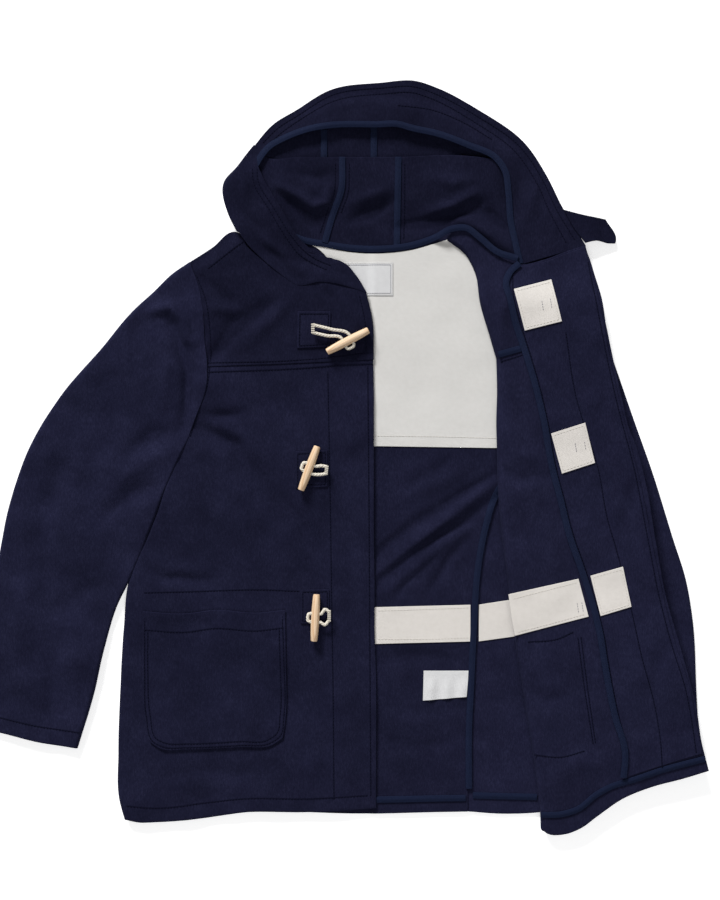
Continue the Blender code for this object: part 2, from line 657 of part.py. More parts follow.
def make_cotton():
    left = line([(0.021, 0.013), (0.016, 0.131), (0.003, 0.213), (-0.026, 0.268), (-0.048, 0.281)])
    right = line([(0.216, 0.010), (0.218, 0.101), (0.204, 0.160), (0.192, 0.205), (0.187, 0.244),
        (0.159, 0.268), (0.140, 0.282)])
    bottom = line([(0.021, 0.013), (0.216, 0.010)])
    top = line([(-0.048, 0.281), (-0.018, 0.272), (0.036, 0.264), (0.091, 0.268), (0.140, 0.282)])
    lay("yoke_lining", patch(left, right, bottom, top), on_back, TWILL, 8, 9, CREAM)
    lay("waist_tape_back", quad((0.016, -0.246), (0.169, -0.242), (0.016, -0.198), (0.169, -0.194)),
        on_back, TWILL, 4, 1, CREAM)
    lay("waist_tape_side", quad((0.183, -0.242), (0.247, -0.233), (0.183, -0.194), (0.240, -0.185)),
        flat(MELTON + SEAM), TWILL, 2, 1, CREAM)
    lay("waist_tape_front", quad((0.238, -0.228), (0.322, -0.208), (0.230, -0.177), (0.309, -0.159)),
        on_open, TWILL, 3, 1, CREAM)
    squares = [
        ("cotton_square_1", (0.242, 0.164), (0.287, 0.174), (0.229, 0.217), (0.274, 0.229)),
        ("cotton_square_2", (0.290, -0.022), (0.330, -0.009), (0.277, 0.030), (0.317, 0.043)),
        ("cotton_square_3", (0.341, -0.205), (0.376, -0.194), (0.329, -0.153), (0.364, -0.143)),
    ]
    for name, a, b, c, d in squares:
        lay(name, quad(a, b, c, d), on_facing, TWILL, 2, 2, CREAM)
    lay("neck_label", quad((0.001, 0.209), (0.069, 0.209), (0.001, 0.252), (0.069, 0.252)), on_lining,
        LABEL, 2, 1, WHITE)
    lay("care_label", quad((0.108, -0.319), (0.163, -0.314), (0.109, -0.280), (0.164, -0.280)),
        on_back, LABEL, 3, 2, WHITE)


# ---------------------------------------------------------------- bindings

def neck_binding_lie(x, y):
    raised = ease((x - 0.117) / 0.022)
    return (MELTON + 2 * SEAM + TWILL) * (1 - raised) + on_open(x, y) * raised


def make_bindings():
    def bind(name, points, lie, along, shift=0.0):
        lay(name, strip(line(points), BINDING_WIDTH, shift), lie, BINDING, 2, along, BLUE)

    bind("binding_side_seam",
         [(0.168, -0.434), (0.168, -0.359), (0.171, -0.293), (0.175, -0.213), (0.179, -0.153),
         (0.190, -0.092), (0.202, -0.053)],
         on_back, 12)
    bind("binding_hem_back", [(0.016, -0.449), (0.104, -0.447), (0.164, -0.446)], on_back, 3)
    bind("binding_hem_under", [(0.173, -0.443), (0.214, -0.444), (0.257, -0.445)],
        flat(MELTON + SEAM), 2)
    bind("binding_hem_open",
         [(0.273, -0.471), (0.289, -0.465), (0.324, -0.451), (0.348, -0.434), (0.390, -0.420),
         (0.420, -0.411), (0.450, -0.403),
          (0.473, -0.394)], on_open, 9)
    bind("binding_facing",
         [(0.367, -0.417), (0.369, -0.386), (0.355, -0.334), (0.342, -0.267), (0.337, -0.235),
         (0.325, -0.186), (0.312, -0.146), (0.298, -0.107),
          (0.285, -0.056), (0.274, -0.013), (0.263, 0.048), (0.251, 0.097), (0.238, 0.140),
          (0.227, 0.173), (0.220, 0.203),
          (0.216, 0.225), (0.227, 0.244)],
         lambda x, y: on_open(x, y) + FACING + TWILL + 3 * SEAM, 22)
    bind("binding_yoke_seam", [(0.208, 0.131), (0.229, 0.137)], on_open, 1)
    bind("binding_neck",
         [(-0.044, 0.279), (-0.018, 0.276), (0.036, 0.269), (0.091, 0.273), (0.125, 0.285),
         (0.146, 0.294), (0.163, 0.294),
          (0.182, 0.281), (0.204, 0.263), (0.224, 0.255)], neck_binding_lie, 18)
    bind("binding_hood_facing",
         [(-0.101, 0.393), (-0.084, 0.409), (-0.025, 0.427), (0.036, 0.432), (0.084, 0.431),
         (0.127, 0.420), (0.168, 0.403),
          (0.204, 0.388), (0.217, 0.369), (0.222, 0.339), (0.224, 0.305), (0.230, 0.277),
          (0.235, 0.257)],
         lambda x, y: facing_lie(x, y) + FACING + SEAM, 26, 0.003)
    bind("binding_crown_seam_1", [(-0.021, 0.394), (-0.021, 0.419)], flat(MELTON + SEAM), 1)
    bind("binding_crown_seam_2", [(0.044, 0.393), (0.044, 0.422)], flat(MELTON + SEAM), 1)
    bind("binding_hood_seam_1", [(-0.016, 0.290), (-0.009, 0.316), (0.001, 0.343), (0.003, 0.386)],
        on_hood, 7)
    bind("binding_hood_seam_2", [(0.074, 0.282), (0.075, 0.333), (0.076, 0.386)], on_hood, 7)


# ---------------------------------------------------------------- toggles and loops

SQUARE = 0.0016
TOGGLE_HEIGHT = FRONT_LIFT + MELTON + 3 * SEAM + SQUARE + TOGGLE_RADIUS - 0.0001

# Middle x, middle y, turn in degrees, the two sewn ends of the cord, how far its strands spread
TOGGLES = [
    (*(0.010, 0.149), 27.6, (-0.035, 0.170), (-0.035, 0.160), 0.0008),
    (*(-0.040, -0.016), 69.4, (-0.017, -0.014), (-0.018, -0.023), 0.0010),
    (*(-0.032, -0.210), 86.8, (-0.014, -0.202), (-0.014, -0.213), 0.0045),
]
TOGGLE_SQUARES = [
    ((-0.056, 0.140), (-0.013, 0.142), (-0.055, 0.188), (-0.012, 0.188)),
    ((-0.058, -0.042), (-0.016, -0.040), (-0.058, 0.006), (-0.016, 0.008)),
    ((-0.051, -0.218), (-0.014, -0.217), (-0.051, -0.174), (-0.014, -0.173)),
]


def make_toggle(name, x, y, turn):
    profile = [
        (0.0, TOGGLE_LENGTH / 2), (TOGGLE_END_RADIUS - 0.0012, TOGGLE_LENGTH / 2),
        (TOGGLE_END_RADIUS, TOGGLE_LENGTH / 2 - 0.0014), (TOGGLE_RADIUS, TOGGLE_LENGTH / 6),
    ]
    bm = bmesh.new()
    verts = [bm.verts.new((radius, 0, along)) for radius, along in profile]
    verts += [bm.verts.new((radius, 0, -along)) for radius, along in reversed(profile)]
    edges = [bm.edges.new(pair) for pair in zip(verts, verts[1:])]
    bmesh.ops.spin(bm, geom=verts + edges, cent=(0, 0, 0), axis=(0, 0, 1), angle=2 * math.pi, steps=14,
                   use_merge=True)
    bmesh.ops.remove_doubles(bm, verts=bm.verts[:], dist=0.00002)
    bmesh.ops.recalc_face_normals(bm, faces=bm.faces[:])
    toggle = add(name, bm, WOOD)
    angle = math.radians(turn)
    toggle.location = (x, y, TOGGLE_HEIGHT)
    toggle.rotation_euler = (0, math.pi / 2, angle)
    for side in (-1, 1):
        bm = bmesh.new()
        bmesh.ops.create_cone(bm, cap_ends=True, segments=10, radius1=TOGGLE_HOLE, radius2=TOGGLE_HOLE,
                              depth=4 * TOGGLE_RADIUS)
        drill = add(f"{name}_hole_{side + 2}", bm, WOOD)
        COAT.objects.unlink(drill)
        CUTTERS.objects.link(drill)
        drill.hide_render = True
        drill.display_type = "WIRE"
        reach = side * TOGGLE_HOLE_OFFSET
        drill.location = (x + reach * math.cos(angle), y + reach * math.sin(angle), TOGGLE_HEIGHT)
        drill.rotation_euler = (math.pi / 2, 0, angle)
        cut = toggle.modifiers.new("hole", "BOOLEAN")
        cut.operation = "DIFFERENCE"
        cut.object = drill


def round_cord(name, points, count):
    """A cord along one smooth curve through the points, which are x, y and z."""
    points = np.array(points, float)
    steps = np.linalg.norm(np.diff(points, axis=0), axis=1)
    route = smooth(points, np.concatenate(([0], np.cumsum(steps))) / steps.sum())
    curve = bpy.data.curves.new(name, "CURVE")
    curve.dimensions = "3D"
    curve.bevel_depth = CORD_RADIUS
    curve.bevel_resolution = 2
    curve.use_fill_caps = True
    spline = curve.splines.new("POLY")
    spline.points.add(count)
    for k, point in enumerate(spline.points):
        point.co = (*route(k / count), 1.0)
    curve.materials.append(CORD)
    piece = bpy.data.objects.new(name, curve)
    COAT.objects.link(piece)


def toggle_cord(name, x, y, turn, first, second, spread):
    """From one sewn end through the toggle, round behind it and back through it to the other."""
    angle = math.radians(turn)
    axis = np.array((math.cos(angle), math.sin(angle)))
    centre = np.array((x, y))
    side = np.array((-axis[1], axis[0]))
    towards = np.array(first) + np.array(second) - 2 * centre
    side = side * math.copysign(1.0, float(side @ towards))
    near = 1.0 if float(axis @ (np.array(first) - np.array(second))) > 0 else -1.0
    height = TOGGLE_HEIGHT
    out = TOGGLE_RADIUS + 0.0015
    back = TOGGLE_RADIUS + 0.0042

    def at(along, across, z=height):
        return (*(centre + along * axis + across * side), z)

    def halfway(end, hole):
        apart = spread * math.copysign(1.0, hole) * axis
        return (*((np.array(end) + centre + hole * axis + out * side) / 2 + apart), height)

    a, b = near * TOGGLE_HOLE_OFFSET, -near * TOGGLE_HOLE_OFFSET
    route = [
        (*first, height), halfway(first, a), at(a, out), at(a, 0.0), at(a, -TOGGLE_RADIUS),
        at(a * 0.75, -back * 0.93), at(0.0, -back), at(b * 0.75, -back * 0.93),
        at(b, -TOGGLE_RADIUS), at(b, 0.0), at(b, out), halfway(second, b), (*second, height),
    ]
    round_cord(name, route, 20)


def make_toggles():
    for number, (place, corners) in enumerate(zip(TOGGLES, TOGGLE_SQUARES), 1):
        x, y, turn, first, second, spread = place
        lay(f"toggle_square_{number}", quad(*corners), on_front, SQUARE, 2, 2, NAVY)
        make_toggle(f"toggle_{number}", x, y, turn)
        toggle_cord(f"toggle_cord_{number}", x, y, turn, first, second, spread)


# Middle of the square, and the place near the front edge that the loop reaches
LOOPS = [
    ((0.255, 0.195), (0.325, 0.211)),
    ((0.302, 0.009), (0.367, 0.026)),
    ((0.350, -0.176), (0.408, -0.160)),
]
LOOP_SQUARE = 0.046
LOOP_GAP = 0.0130


def make_loops():
    for number, (centre, reach) in enumerate(LOOPS, 1):
        centre, reach = np.array(centre), np.array(reach)
        ahead = (reach - centre) / np.hypot(*(reach - centre))
        aside = np.array((-ahead[1], ahead[0]))
        half = LOOP_SQUARE / 2
        corners = [centre + half * (i * ahead + j * aside) for i, j in ((-1, -1), (1, -1), (-1, 1),
            (1, 1))]
        lay(f"loop_square_{number}", quad(*corners), under_open(SQUARE), SQUARE, 2, 2, NAVY)
        route = []
        legs = [centre + s * (reach - LOOP_GAP / 2 * ahead - centre) for s in (0.0, 0.3, 0.65, 1.0)]
        places = [leg + LOOP_GAP / 2 * aside for leg in legs]
        turn_centre = legs[-1]
        for step in range(1, 6):
            turn = math.pi * step / 6
            places.append(turn_centre + LOOP_GAP / 2 * (math.cos(turn) * aside + math.sin(turn) * ahead))
        places += [leg - LOOP_GAP / 2 * aside for leg in reversed(legs)]
        for x, y in places:
            route.append((x, y, open_lie(x, y) - 3 * SEAM - SQUARE - CORD_RADIUS))
        round_cord(f"loop_cord_{number}", route, 18)


make_back()
make_toggle_side()
make_loop_side()
make_sleeves()
make_pockets()
make_facing()
make_hood()
make_cotton()
make_bindings()
make_toggles()
make_loops()
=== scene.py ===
"""The looks of a short hooded duffle coat lying flat, with one front folded over to show its inside.

Metres, +Z up, in the coat's own frame: X runs across the coat and Y from the hem to the hood.
"""

import math

import bmesh
import bpy
import numpy as np
from mathutils import Matrix, Vector


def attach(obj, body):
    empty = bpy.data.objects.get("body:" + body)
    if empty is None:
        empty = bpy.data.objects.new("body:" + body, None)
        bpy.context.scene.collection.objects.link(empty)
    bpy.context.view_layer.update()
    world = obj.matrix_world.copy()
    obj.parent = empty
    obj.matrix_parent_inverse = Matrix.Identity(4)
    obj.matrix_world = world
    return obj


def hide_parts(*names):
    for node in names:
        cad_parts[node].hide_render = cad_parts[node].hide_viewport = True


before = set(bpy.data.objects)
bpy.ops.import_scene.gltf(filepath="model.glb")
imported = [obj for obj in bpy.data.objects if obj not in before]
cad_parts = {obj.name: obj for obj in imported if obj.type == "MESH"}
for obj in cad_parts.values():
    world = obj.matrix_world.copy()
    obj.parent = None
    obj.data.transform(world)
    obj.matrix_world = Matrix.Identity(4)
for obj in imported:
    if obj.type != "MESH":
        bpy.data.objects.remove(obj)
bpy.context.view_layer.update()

# Cloth and trim
MELTON = 0.0022
FACING = 0.0016
TWILL = 0.0008
LABEL = 0.0006
TUCK = 0.0026
TAB = 0.0036
BINDING = 0.0014
BINDING_BODY = BINDING * 0.8
BINDING_WIDTH = 0.0085
SEAM = 0.0003

# Heights of the undersides of the layers, where they lie flat
FRONT_LIFT = 0.0075
UNDER_LIFT = 0.0039
OPEN_LIFT = 0.0194
NECK_LIFT = 0.0104
HEM_DROP = 0.0080
CURVE_ROOM = 0.0005
HOOD_LIFT = 0.0056
HOOD_TURN_LIFT = 0.0129
HOOD_TURN_DROP = 0.0030
FACING_LIFT = 0.0030
FACING_RISE = 0.0070
TAB_DROP = 0.0070
REST = 0.0006
SLEEVE_AIR = 0.0053
HIDDEN_SLEEVE_AIR = 0.0014
HIDDEN_SLEEVE_LIFT = 0.0067

# Toggles and cords
TOGGLE_LENGTH = 0.061
TOGGLE_RADIUS = 0.0055
TOGGLE_END_RADIUS = 0.0044
TOGGLE_HOLE = 0.0026
TOGGLE_HOLE_OFFSET = 0.0055
CORD_RADIUS = 0.0022
STRAND_RADIUS = 0.00125
STRAND_TWIST = 0.0115

# How fine the shells and their folds are
CLOTH_STEP = 0.0040
MIDDLE_STEP = 0.0035
FINE_STEP = 0.0030
FINEST_STEP = 0.0025
FOLD_STEPS = 8
SHARP_EDGE = math.radians(50)
EDGE_ROUND = 0.0007
SHELL_ROUND = 0.0008
BINDING_ROUND = 0.0005
TOGGLE_ROUND = 0.0003
WELD = 0.00005
FINE_WELD = 0.00002

# Thread, and the dark strip of painted shade that stands for the groove it pulls into the nap
STITCH_LENGTH = 0.0034
STITCH_STEP = 0.0040
STITCH_RADIUS = 0.00062
GROOVE_SHADE_WIDTH = 0.0015
GROOVE_SHADE_LIFT = 0.00022
GROOVE_SHADE_THICKNESS = 0.0004
STITCH_PROUD = 0.35


# ---------------------------------------------------------------- lines and plans

def ease(t):
    t = np.clip(t, 0.0, 1.0)
    return t * t * (3.0 - 2.0 * t)


def smooth(points, times):
    """Points along the rounded line through the given ones, which it meets at the given times."""
    points = np.array(points, float)
    times = np.array(times, float)
    slopes = np.gradient(points, times, axis=0)

    def at(t):
        t = np.asarray(t, float)
        k = np.clip(np.searchsorted(times, t) - 1, 0, len(times) - 2)
        span = np.asarray(times[k + 1] - times[k])[..., None]
        s = np.asarray(t - times[k])[..., None] / span
        start = (1 + 2 * s) * (1 - s) ** 2 * points[k] + s * (1 - s) ** 2 * span * slopes[k]
        end = s * s * (3 - 2 * s) * points[k + 1] + s * s * (s - 1) * span * slopes[k + 1]
        return start + end

    return at


def line(points):
    """A rounded line through the points, as a function of 0 to 1 along its length."""
    points = np.array(points, float)
    steps = np.linalg.norm(np.diff(points, axis=0), axis=1)
    return smooth(points, np.concatenate(([0], np.cumsum(steps))) / steps.sum())


def columns(rows):
    """The lines down each column of a table of rows, all keeping step with one another."""
    table = np.array(rows, float)
    steps = np.hypot(*np.diff(table.mean(axis=1), axis=0).T)
    times = np.concatenate(([0], np.cumsum(steps))) / steps.sum()
    return [smooth(table[:, k], times) for k in range(table.shape[1])]


def between(left, right):
    def at(u, v):
        u = np.asarray(u, float)[..., None]
        return (1 - u) * left(v) + u * right(v)
    return at


def patch(*edges):
    """A plan filled between lines or their points: left and right run up, bottom and top run across."""
    left, right, bottom, top = (edge if callable(edge) else line(edge) for edge in edges)

    def at(u, v):
        across = np.asarray(u, float)[..., None]
        along = np.asarray(v, float)[..., None]
        sides = (1 - across) * left(v) + across * right(v)
        ends = (1 - along) * bottom(u) + along * top(u)
        low = (1 - across) * bottom(0.0) + across * bottom(1.0)
        high = (1 - across) * top(0.0) + across * top(1.0)
        return sides + ends - (1 - along) * low - along * high
    return at


def quad(a, b, c, d):
    """A plan with four straight sides, from its corners: bottom left, bottom right, top left, top right."""
    a, b, c, d = (np.array(p, float) for p in (a, b, c, d))

    def at(u, v):
        u = np.asarray(u, float)[..., None]
        v = np.asarray(v, float)[..., None]
        return (1 - v) * ((1 - u) * a + u * b) + v * ((1 - u) * c + u * d)
    return at


def strip(route, width, shift=0.0):
    """A plan of even width along a line, moved sideways by shift to its right."""
    def at(u, v):
        u, v = np.broadcast_arrays(np.asarray(u, float), np.asarray(v, float))
        ahead = route(np.minimum(v + 0.01, 1)) - route(np.maximum(v - 0.01, 0))
        ahead = ahead / np.linalg.norm(ahead, axis=-1, keepdims=True)
        aside = np.stack((ahead[..., 1], -ahead[..., 0]), axis=-1)
        return route(v) + ((u - 0.5) * width + shift)[..., None] * aside
    return at


def straight(a, b):
    a, b = np.array(a, float), np.array(b, float)
    return lambda t: a + (b - a) * np.asarray(t, float)[..., None]


def measure(route):
    """The length of a line given as a function of 0 to 1."""
    return float(np.linalg.norm(np.diff(route(np.linspace(0, 1, 60)), axis=0), axis=1).sum())


# ---------------------------------------------------------------- finishes

class Finish:
    """A material in the making, with the nodes that its colour and its bumps come from."""

    def __init__(self, name, roughness, gloss=0.25, sheen=0.0, tint=(1, 1, 1)):
        self.material = bpy.data.materials.new(name)
        self.material.use_nodes = True
        self.nodes = self.material.node_tree.nodes
        self.links = self.material.node_tree.links
        self.shader = self.nodes["Principled BSDF"]
        self.fill(self.shader, {
            "Roughness": roughness, "Specular IOR Level": gloss,
            "Sheen Weight": sheen, "Sheen Roughness": 0.55, "Sheen Tint": (*tint, 1.0),
        })

    def fill(self, node, values):
        """Sets each input, or joins it where its value is another node's output."""
        for key, value in values.items():
            if isinstance(value, bpy.types.NodeSocket):
                self.links.new(value, node.inputs[key])
            else:
                node.inputs[key].default_value = value

    def node(self, kind, values, **settings):
        made = self.nodes.new("ShaderNode" + kind)
        for key, value in settings.items():
            setattr(made, key, value)
        self.fill(made, values)
        return made

    def place(self):
        return self.node("TexCoord", {}).outputs["Object"]

    def weave(self):
        """The place on the cloth itself: across it, along it."""
        return self.node("Attribute", {}, attribute_name="weave").outputs["Vector"]

    def stretched(self, place, **change):
        return self.node("Mapping", {"Vector": place, **change}).outputs["Vector"]

    def noise(self, place, scale, detail, roughness=0.5):
        values = {"Vector": place, "Scale": scale, "Detail": detail, "Roughness": roughness}
        return self.node("TexNoise", values).outputs["Fac"]

    def wave(self, place, scale, distortion, detail, direction):
        values = {"Vector": place, "Scale": scale, "Distortion": distortion, "Detail": detail}
        return self.node("TexWave", values, bands_direction=direction).outputs["Fac"]

    def plus(self, first, second, share):
        """The first value with a share of the second added."""
        values = {0: second, 1: share, 2: first}
        return self.node("Math", values, operation="MULTIPLY_ADD").outputs[0]

    def spread(self, value, low, high, bottom=0.0, top=1.0):
        """A value that runs from low to high, made to run from bottom to top."""
        values = {"Value": value, "From Min": low, "From Max": high, "To Min": bottom, "To Max": top}
        return self.node("MapRange", values).outputs["Result"]

    def colours(self, factor, stops):
        made = self.node("ValToRGB", {"Fac": factor})
        bar = made.color_ramp.elements
        while len(bar) < len(stops):
            bar.new(0.5)
        for element, (place, colour) in zip(bar, stops):
            element.position = place
            element.color = (*colour, 1.0)
        return made.outputs["Color"]

    def done(self, colour, height, strength, depth):
        """The material, once its colour and its bumps are joined to its shader."""
        bump = self.node("Bump", {"Height": height, "Strength": strength, "Distance": depth})
        self.fill(self.shader, {"Base Color": colour, "Normal": bump.outputs["Normal"]})
        return self.material


MELTON_TONES = [(0.0058, 0.0060, 0.0162), (0.0094, 0.0098, 0.0252), (0.0165, 0.0172, 0.0410)]


def melton_finish(name, depth):
    """Felted wool: a short brushed nap, faint mottling and no visible weave. Depth scales its colours,
    which makes lighter copies for painted light and darker ones for painted shade.
    """
    wool = Finish(name, 0.95, gloss=0.02, sheen=0.02, tint=(0.40, 0.45, 0.95))
    place = wool.place()
    cloud = wool.noise(place, 38.0, 4.0, 0.7)
    fibre = wool.noise(wool.stretched(place, Scale=(1.0, 0.32, 1.0)), 620.0, 5.0, 0.72)
    speckle = wool.noise(place, 1500.0, 2.0, 0.6)
    mottling = wool.spread(wool.plus(fibre, cloud, 0.45), 0.42, 1.02)
    # depth over 1 paints light onto the cloth, and depth under 1 paints shade
    tones = [tuple(share * depth for share in tone) for tone in MELTON_TONES]
    colour = wool.colours(mottling, [(0.0, tones[0]), (0.5, tones[1]), (1.0, tones[2])])
    drift = wool.spread(wool.noise(place, 15.0, 3.0, 0.55), 0.32, 0.68, 0.87, 1.13)
    worn = wool.node("VectorMath", {0: colour, "Scale": drift}, operation="SCALE")
    return wool.done(worn.outputs["Vector"], wool.plus(fibre, speckle, 0.5), 0.55, 0.0007)


def ribbed_finish(name, deep, high, ribs, roughness):
    """A tape with fine crosswise ribs that follow its length."""
    tape = Finish(name, roughness, gloss=0.05)
    weave = tape.weave()
    tone = tape.plus(tape.wave(weave, ribs, 0.35, 1.0, "Y"), tape.noise(weave, 240.0, 3.0), 0.8)
    colour = tape.colours(tape.spread(tone, 0.1, 1.5), [(0.0, deep), (1.0, high)])
    return tape.done(colour, tone, 0.5, 0.0005)


def twill_finish(name, deep, high, threads, roughness, depth):
    """Cotton with a fine diagonal weave, and a soft unevenness."""
    cotton = Finish(name, roughness, gloss=0.1)
    weave = cotton.weave()
    diagonal = cotton.stretched(weave, Rotation=(0.0, 0.0, math.radians(33)))
    twill = cotton.wave(diagonal, threads, 0.6, 2.0, "X")
    slub = cotton.noise(weave, 160.0, 4.0, 0.6)
    tone = cotton.spread(cotton.plus(slub, twill, 0.30), 0.30, 0.95)
    return cotton.done(cotton.colours(tone, [(0.0, deep), (1.0, high)]), twill, 0.35, depth)


def wood_finish(name, stops):
    """Pale sanded wood, its grain running along the toggle."""
    wood = Finish(name, 0.5, gloss=0.4)
    grain = wood.stretched(wood.weave(), Scale=(1.0, 1.0, 0.06))
    tone = wood.plus(wood.wave(grain, 150.0, 7.0, 3.0, "X"), wood.noise(grain, 1600.0, 3.0), 0.8)
    return wood.done(wood.colours(wood.spread(tone, 0.1, 1.5), stops), tone, 0.25, 0.0003)


def thread_finish(name, deep, high, roughness, gloss=0.25):
    """Spun thread or cord with fine fibres."""
    thread = Finish(name, roughness, gloss)
    fibre = thread.noise(thread.place(), 1400.0, 3.0, 0.6)
    return thread.done(thread.colours(fibre, [(0.3, deep), (0.7, high)]), fibre, 0.4, 0.0004)


# One navy melton in four copies that differ only in brightness: a darker copy for painted shade on the
# hood, its facing and throat tab, and the toggle side's yoke, and brighter copies for painted light on the
# loop side's front, yoke, pocket and facing, and on the sleeves.
NAVY = melton_finish("navy_melton", 1.0)
PAINTED_SHADE_NAVY = melton_finish("navy_melton_painted_shade", 0.78)
PAINTED_LIGHT_OPEN_NAVY = melton_finish("navy_melton_open_painted_light", 1.16)
PAINTED_LIGHT_SLEEVE_NAVY = melton_finish("navy_melton_sleeve_painted_light", 1.16)
BLUE = ribbed_finish("bias_binding", (0.0046, 0.0070, 0.0200), (0.0104, 0.0156, 0.0430), 330.0, 0.75)
CREAM = twill_finish("cotton_twill", (0.602, 0.591, 0.570), (0.655, 0.644, 0.625), 420.0, 0.92, 0.0003)
TAPE = twill_finish("cotton_tape", (0.634, 0.600, 0.564), (0.689, 0.655, 0.621), 420.0, 0.92, 0.0003)
WHITE = twill_finish("woven_label", (0.590, 0.590, 0.597), (0.645, 0.645, 0.652), 900.0, 0.75, 0.00015)
WOOD = wood_finish("toggle_wood", [
    (0.0, (0.53, 0.32, 0.18)), (0.45, (0.68, 0.47, 0.29)), (1.0, (0.78, 0.59, 0.41)),
])
CORD = thread_finish("toggle_cord", (0.56, 0.51, 0.42), (0.78, 0.74, 0.66), 0.9)
NAVY_THREAD = thread_finish("navy_thread", (0.0030, 0.0034, 0.0110), (0.0066, 0.0074, 0.0200), 0.9, 0.03)
# The colour of the dark strips along the navy stitch rows: painted shade for their grooves, not thread.
GROOVE_SHADE = thread_finish("painted_groove_shade_seam", (0.0050, 0.0052, 0.0138), (0.0074, 0.0077, 0.0200), 0.95, 0.02)
CREAM_THREAD = thread_finish("cream_thread", (0.50, 0.47, 0.42), (0.60, 0.58, 0.53), 0.85)
GREY_THREAD = thread_finish("bar_tack_thread", (0.10, 0.10, 0.14), (0.18, 0.18, 0.23), 0.85)


# ---------------------------------------------------------------- making cloth

def linked(name, data):
    """An object in the scene that holds a mesh, a curve, a light or a camera."""
    made = bpy.data.objects.new(name, data)
    bpy.context.scene.collection.objects.link(made)
    return made


def solid(name, bm):
    mesh = bpy.data.meshes.new(name)
    bm.to_mesh(mesh)
    bm.free()
    return linked(name, mesh)


def place_piece(name, bm, finish, node=None):
    """A piece of the coat, smooth between its sharp edges. It stands for a node where one is named."""
    piece = solid(name, bm)
    piece.data.shade_smooth()
    piece.data.set_sharp_from_angle(angle=SHARP_EDGE)
    piece.data.materials.append(finish)
    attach(piece, "root")
    if node:
        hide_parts(node)
    return piece


def grid(across, along):
    bm = bmesh.new()
    bmesh.ops.create_grid(bm, x_segments=across, y_segments=along, size=0.5)
    return bm, bm.verts.layers.float_vector.new("weave")


def closed(bm, height):
    """Gives a sheet its thickness: a copy of its faces at a height, and walls between the two."""
    made = bmesh.ops.extrude_face_region(bm, geom=bm.faces[:], use_keep_orig=True)
    moved = [part for part in made["geom"] if isinstance(part, bmesh.types.BMVert)]
    bmesh.ops.translate(bm, verts=moved, vec=(0, 0, height))
    bmesh.ops.recalc_face_normals(bm, faces=bm.faces[:])


def shell(plan, lie, thickness, steps, size):
    """A closed sheet over a plan, with its underside at the height that lie gives."""
    bm, weave = grid(*steps)
    u, v = (np.array([vert.co[k] for vert in bm.verts]) + 0.5 for k in (0, 1))
    xy = plan(u, v)
    for vert, (x, y), z, s, t in zip(bm.verts, xy, lie(*xy.T) + 0 * u, u, v):
        vert.co = (x, y, z)
        vert[weave] = (s * size[0], t * size[1], 0.0)
    closed(bm, thickness)
    return bm


def rounded(piece, width=EDGE_ROUND):
    edge = piece.modifiers.new("rounded_edge", "BEVEL")
    edge.width = width
    edge.segments = 2
    edge.limit_method = "ANGLE"
    edge.angle_limit = SHARP_EDGE


def flat_size(plan):
    """How wide and how long a plan is, along its middle lines, and its area."""
    s = np.linspace(0, 1, 33)
    width = np.linalg.norm(np.diff(plan(s, 0 * s + 0.5), axis=0), axis=1).sum()
    length = np.linalg.norm(np.diff(plan(0 * s + 0.5, s), axis=0), axis=1).sum()
    p = plan(*np.meshgrid(s, s))
    one, two = p[1:, 1:] - p[:-1, :-1], p[1:, :-1] - p[:-1, 1:]
    area = np.abs(one[..., 0] * two[..., 1] - one[..., 1] * two[..., 0]).sum() / 2
    return float(width), float(length), float(area)


def lay(name, plan, lie, thickness, finish, step=CLOTH_STEP):
    """A sheet over a plan, with its underside at the height that lie gives. It stands for its solid."""
    width, length, area = flat_size(plan)
    steps = [max(2, round(side / step)) for side in (width, length)]
    piece = place_piece(name, shell(plan, lie, thickness, steps, (width, length)), finish, name)
    rounded(piece, min(SHELL_ROUND, thickness * 0.4))


def turned_rows(runs, levels, counts, along):
    """The points across cloth that turns back on itself, in a half round, between runs."""
    v = np.linspace(0, 1, along + 1)
    ends = [(run(0 * v, v), run(0 * v + 1, v)) for run in runs]
    lengths = [np.linalg.norm(b - a, axis=1) for a, b in ends]
    radii = [
        (levels[k + 1](*end.T) - levels[k](*end.T)) / 2 for k, (_, end) in enumerate(ends[:-1])
    ]
    rows = []
    for k, run in enumerate(runs):
        first = (abs(radii[k - 1]) + MELTON / 2) / lengths[k] if k > 0 else 0 * v
        last = 1 - (abs(radii[k]) + MELTON / 2) / lengths[k] if k < len(radii) else 0 * v + 1
        if k > 0:
            edge, start = ends[k][0], run(first, v)
            close, low = rows[-1][:, :2], rows[-1][:, 2]
            reach = edge - (close + start) / 2
            reach = reach * (1 - MELTON / 2 / np.linalg.norm(reach, axis=1))[:, None]
            high = levels[k](*start.T) + 0 * v
            for step in range(1, FOLD_STEPS):
                turn = math.pi * step / FOLD_STEPS
                share = (1 - math.cos(turn)) / 2
                xy = close * (1 - share) + start * share + reach * math.sin(turn)
                rows.append(np.column_stack((xy, low * (1 - share) + high * share)))
        for step in range(counts[k] + 1):
            xy = run(first + (last - first) * step / counts[k], v)
            rows.append(np.column_stack((xy, levels[k](*xy.T) + 0 * v)))
    return np.stack(rows, axis=1)


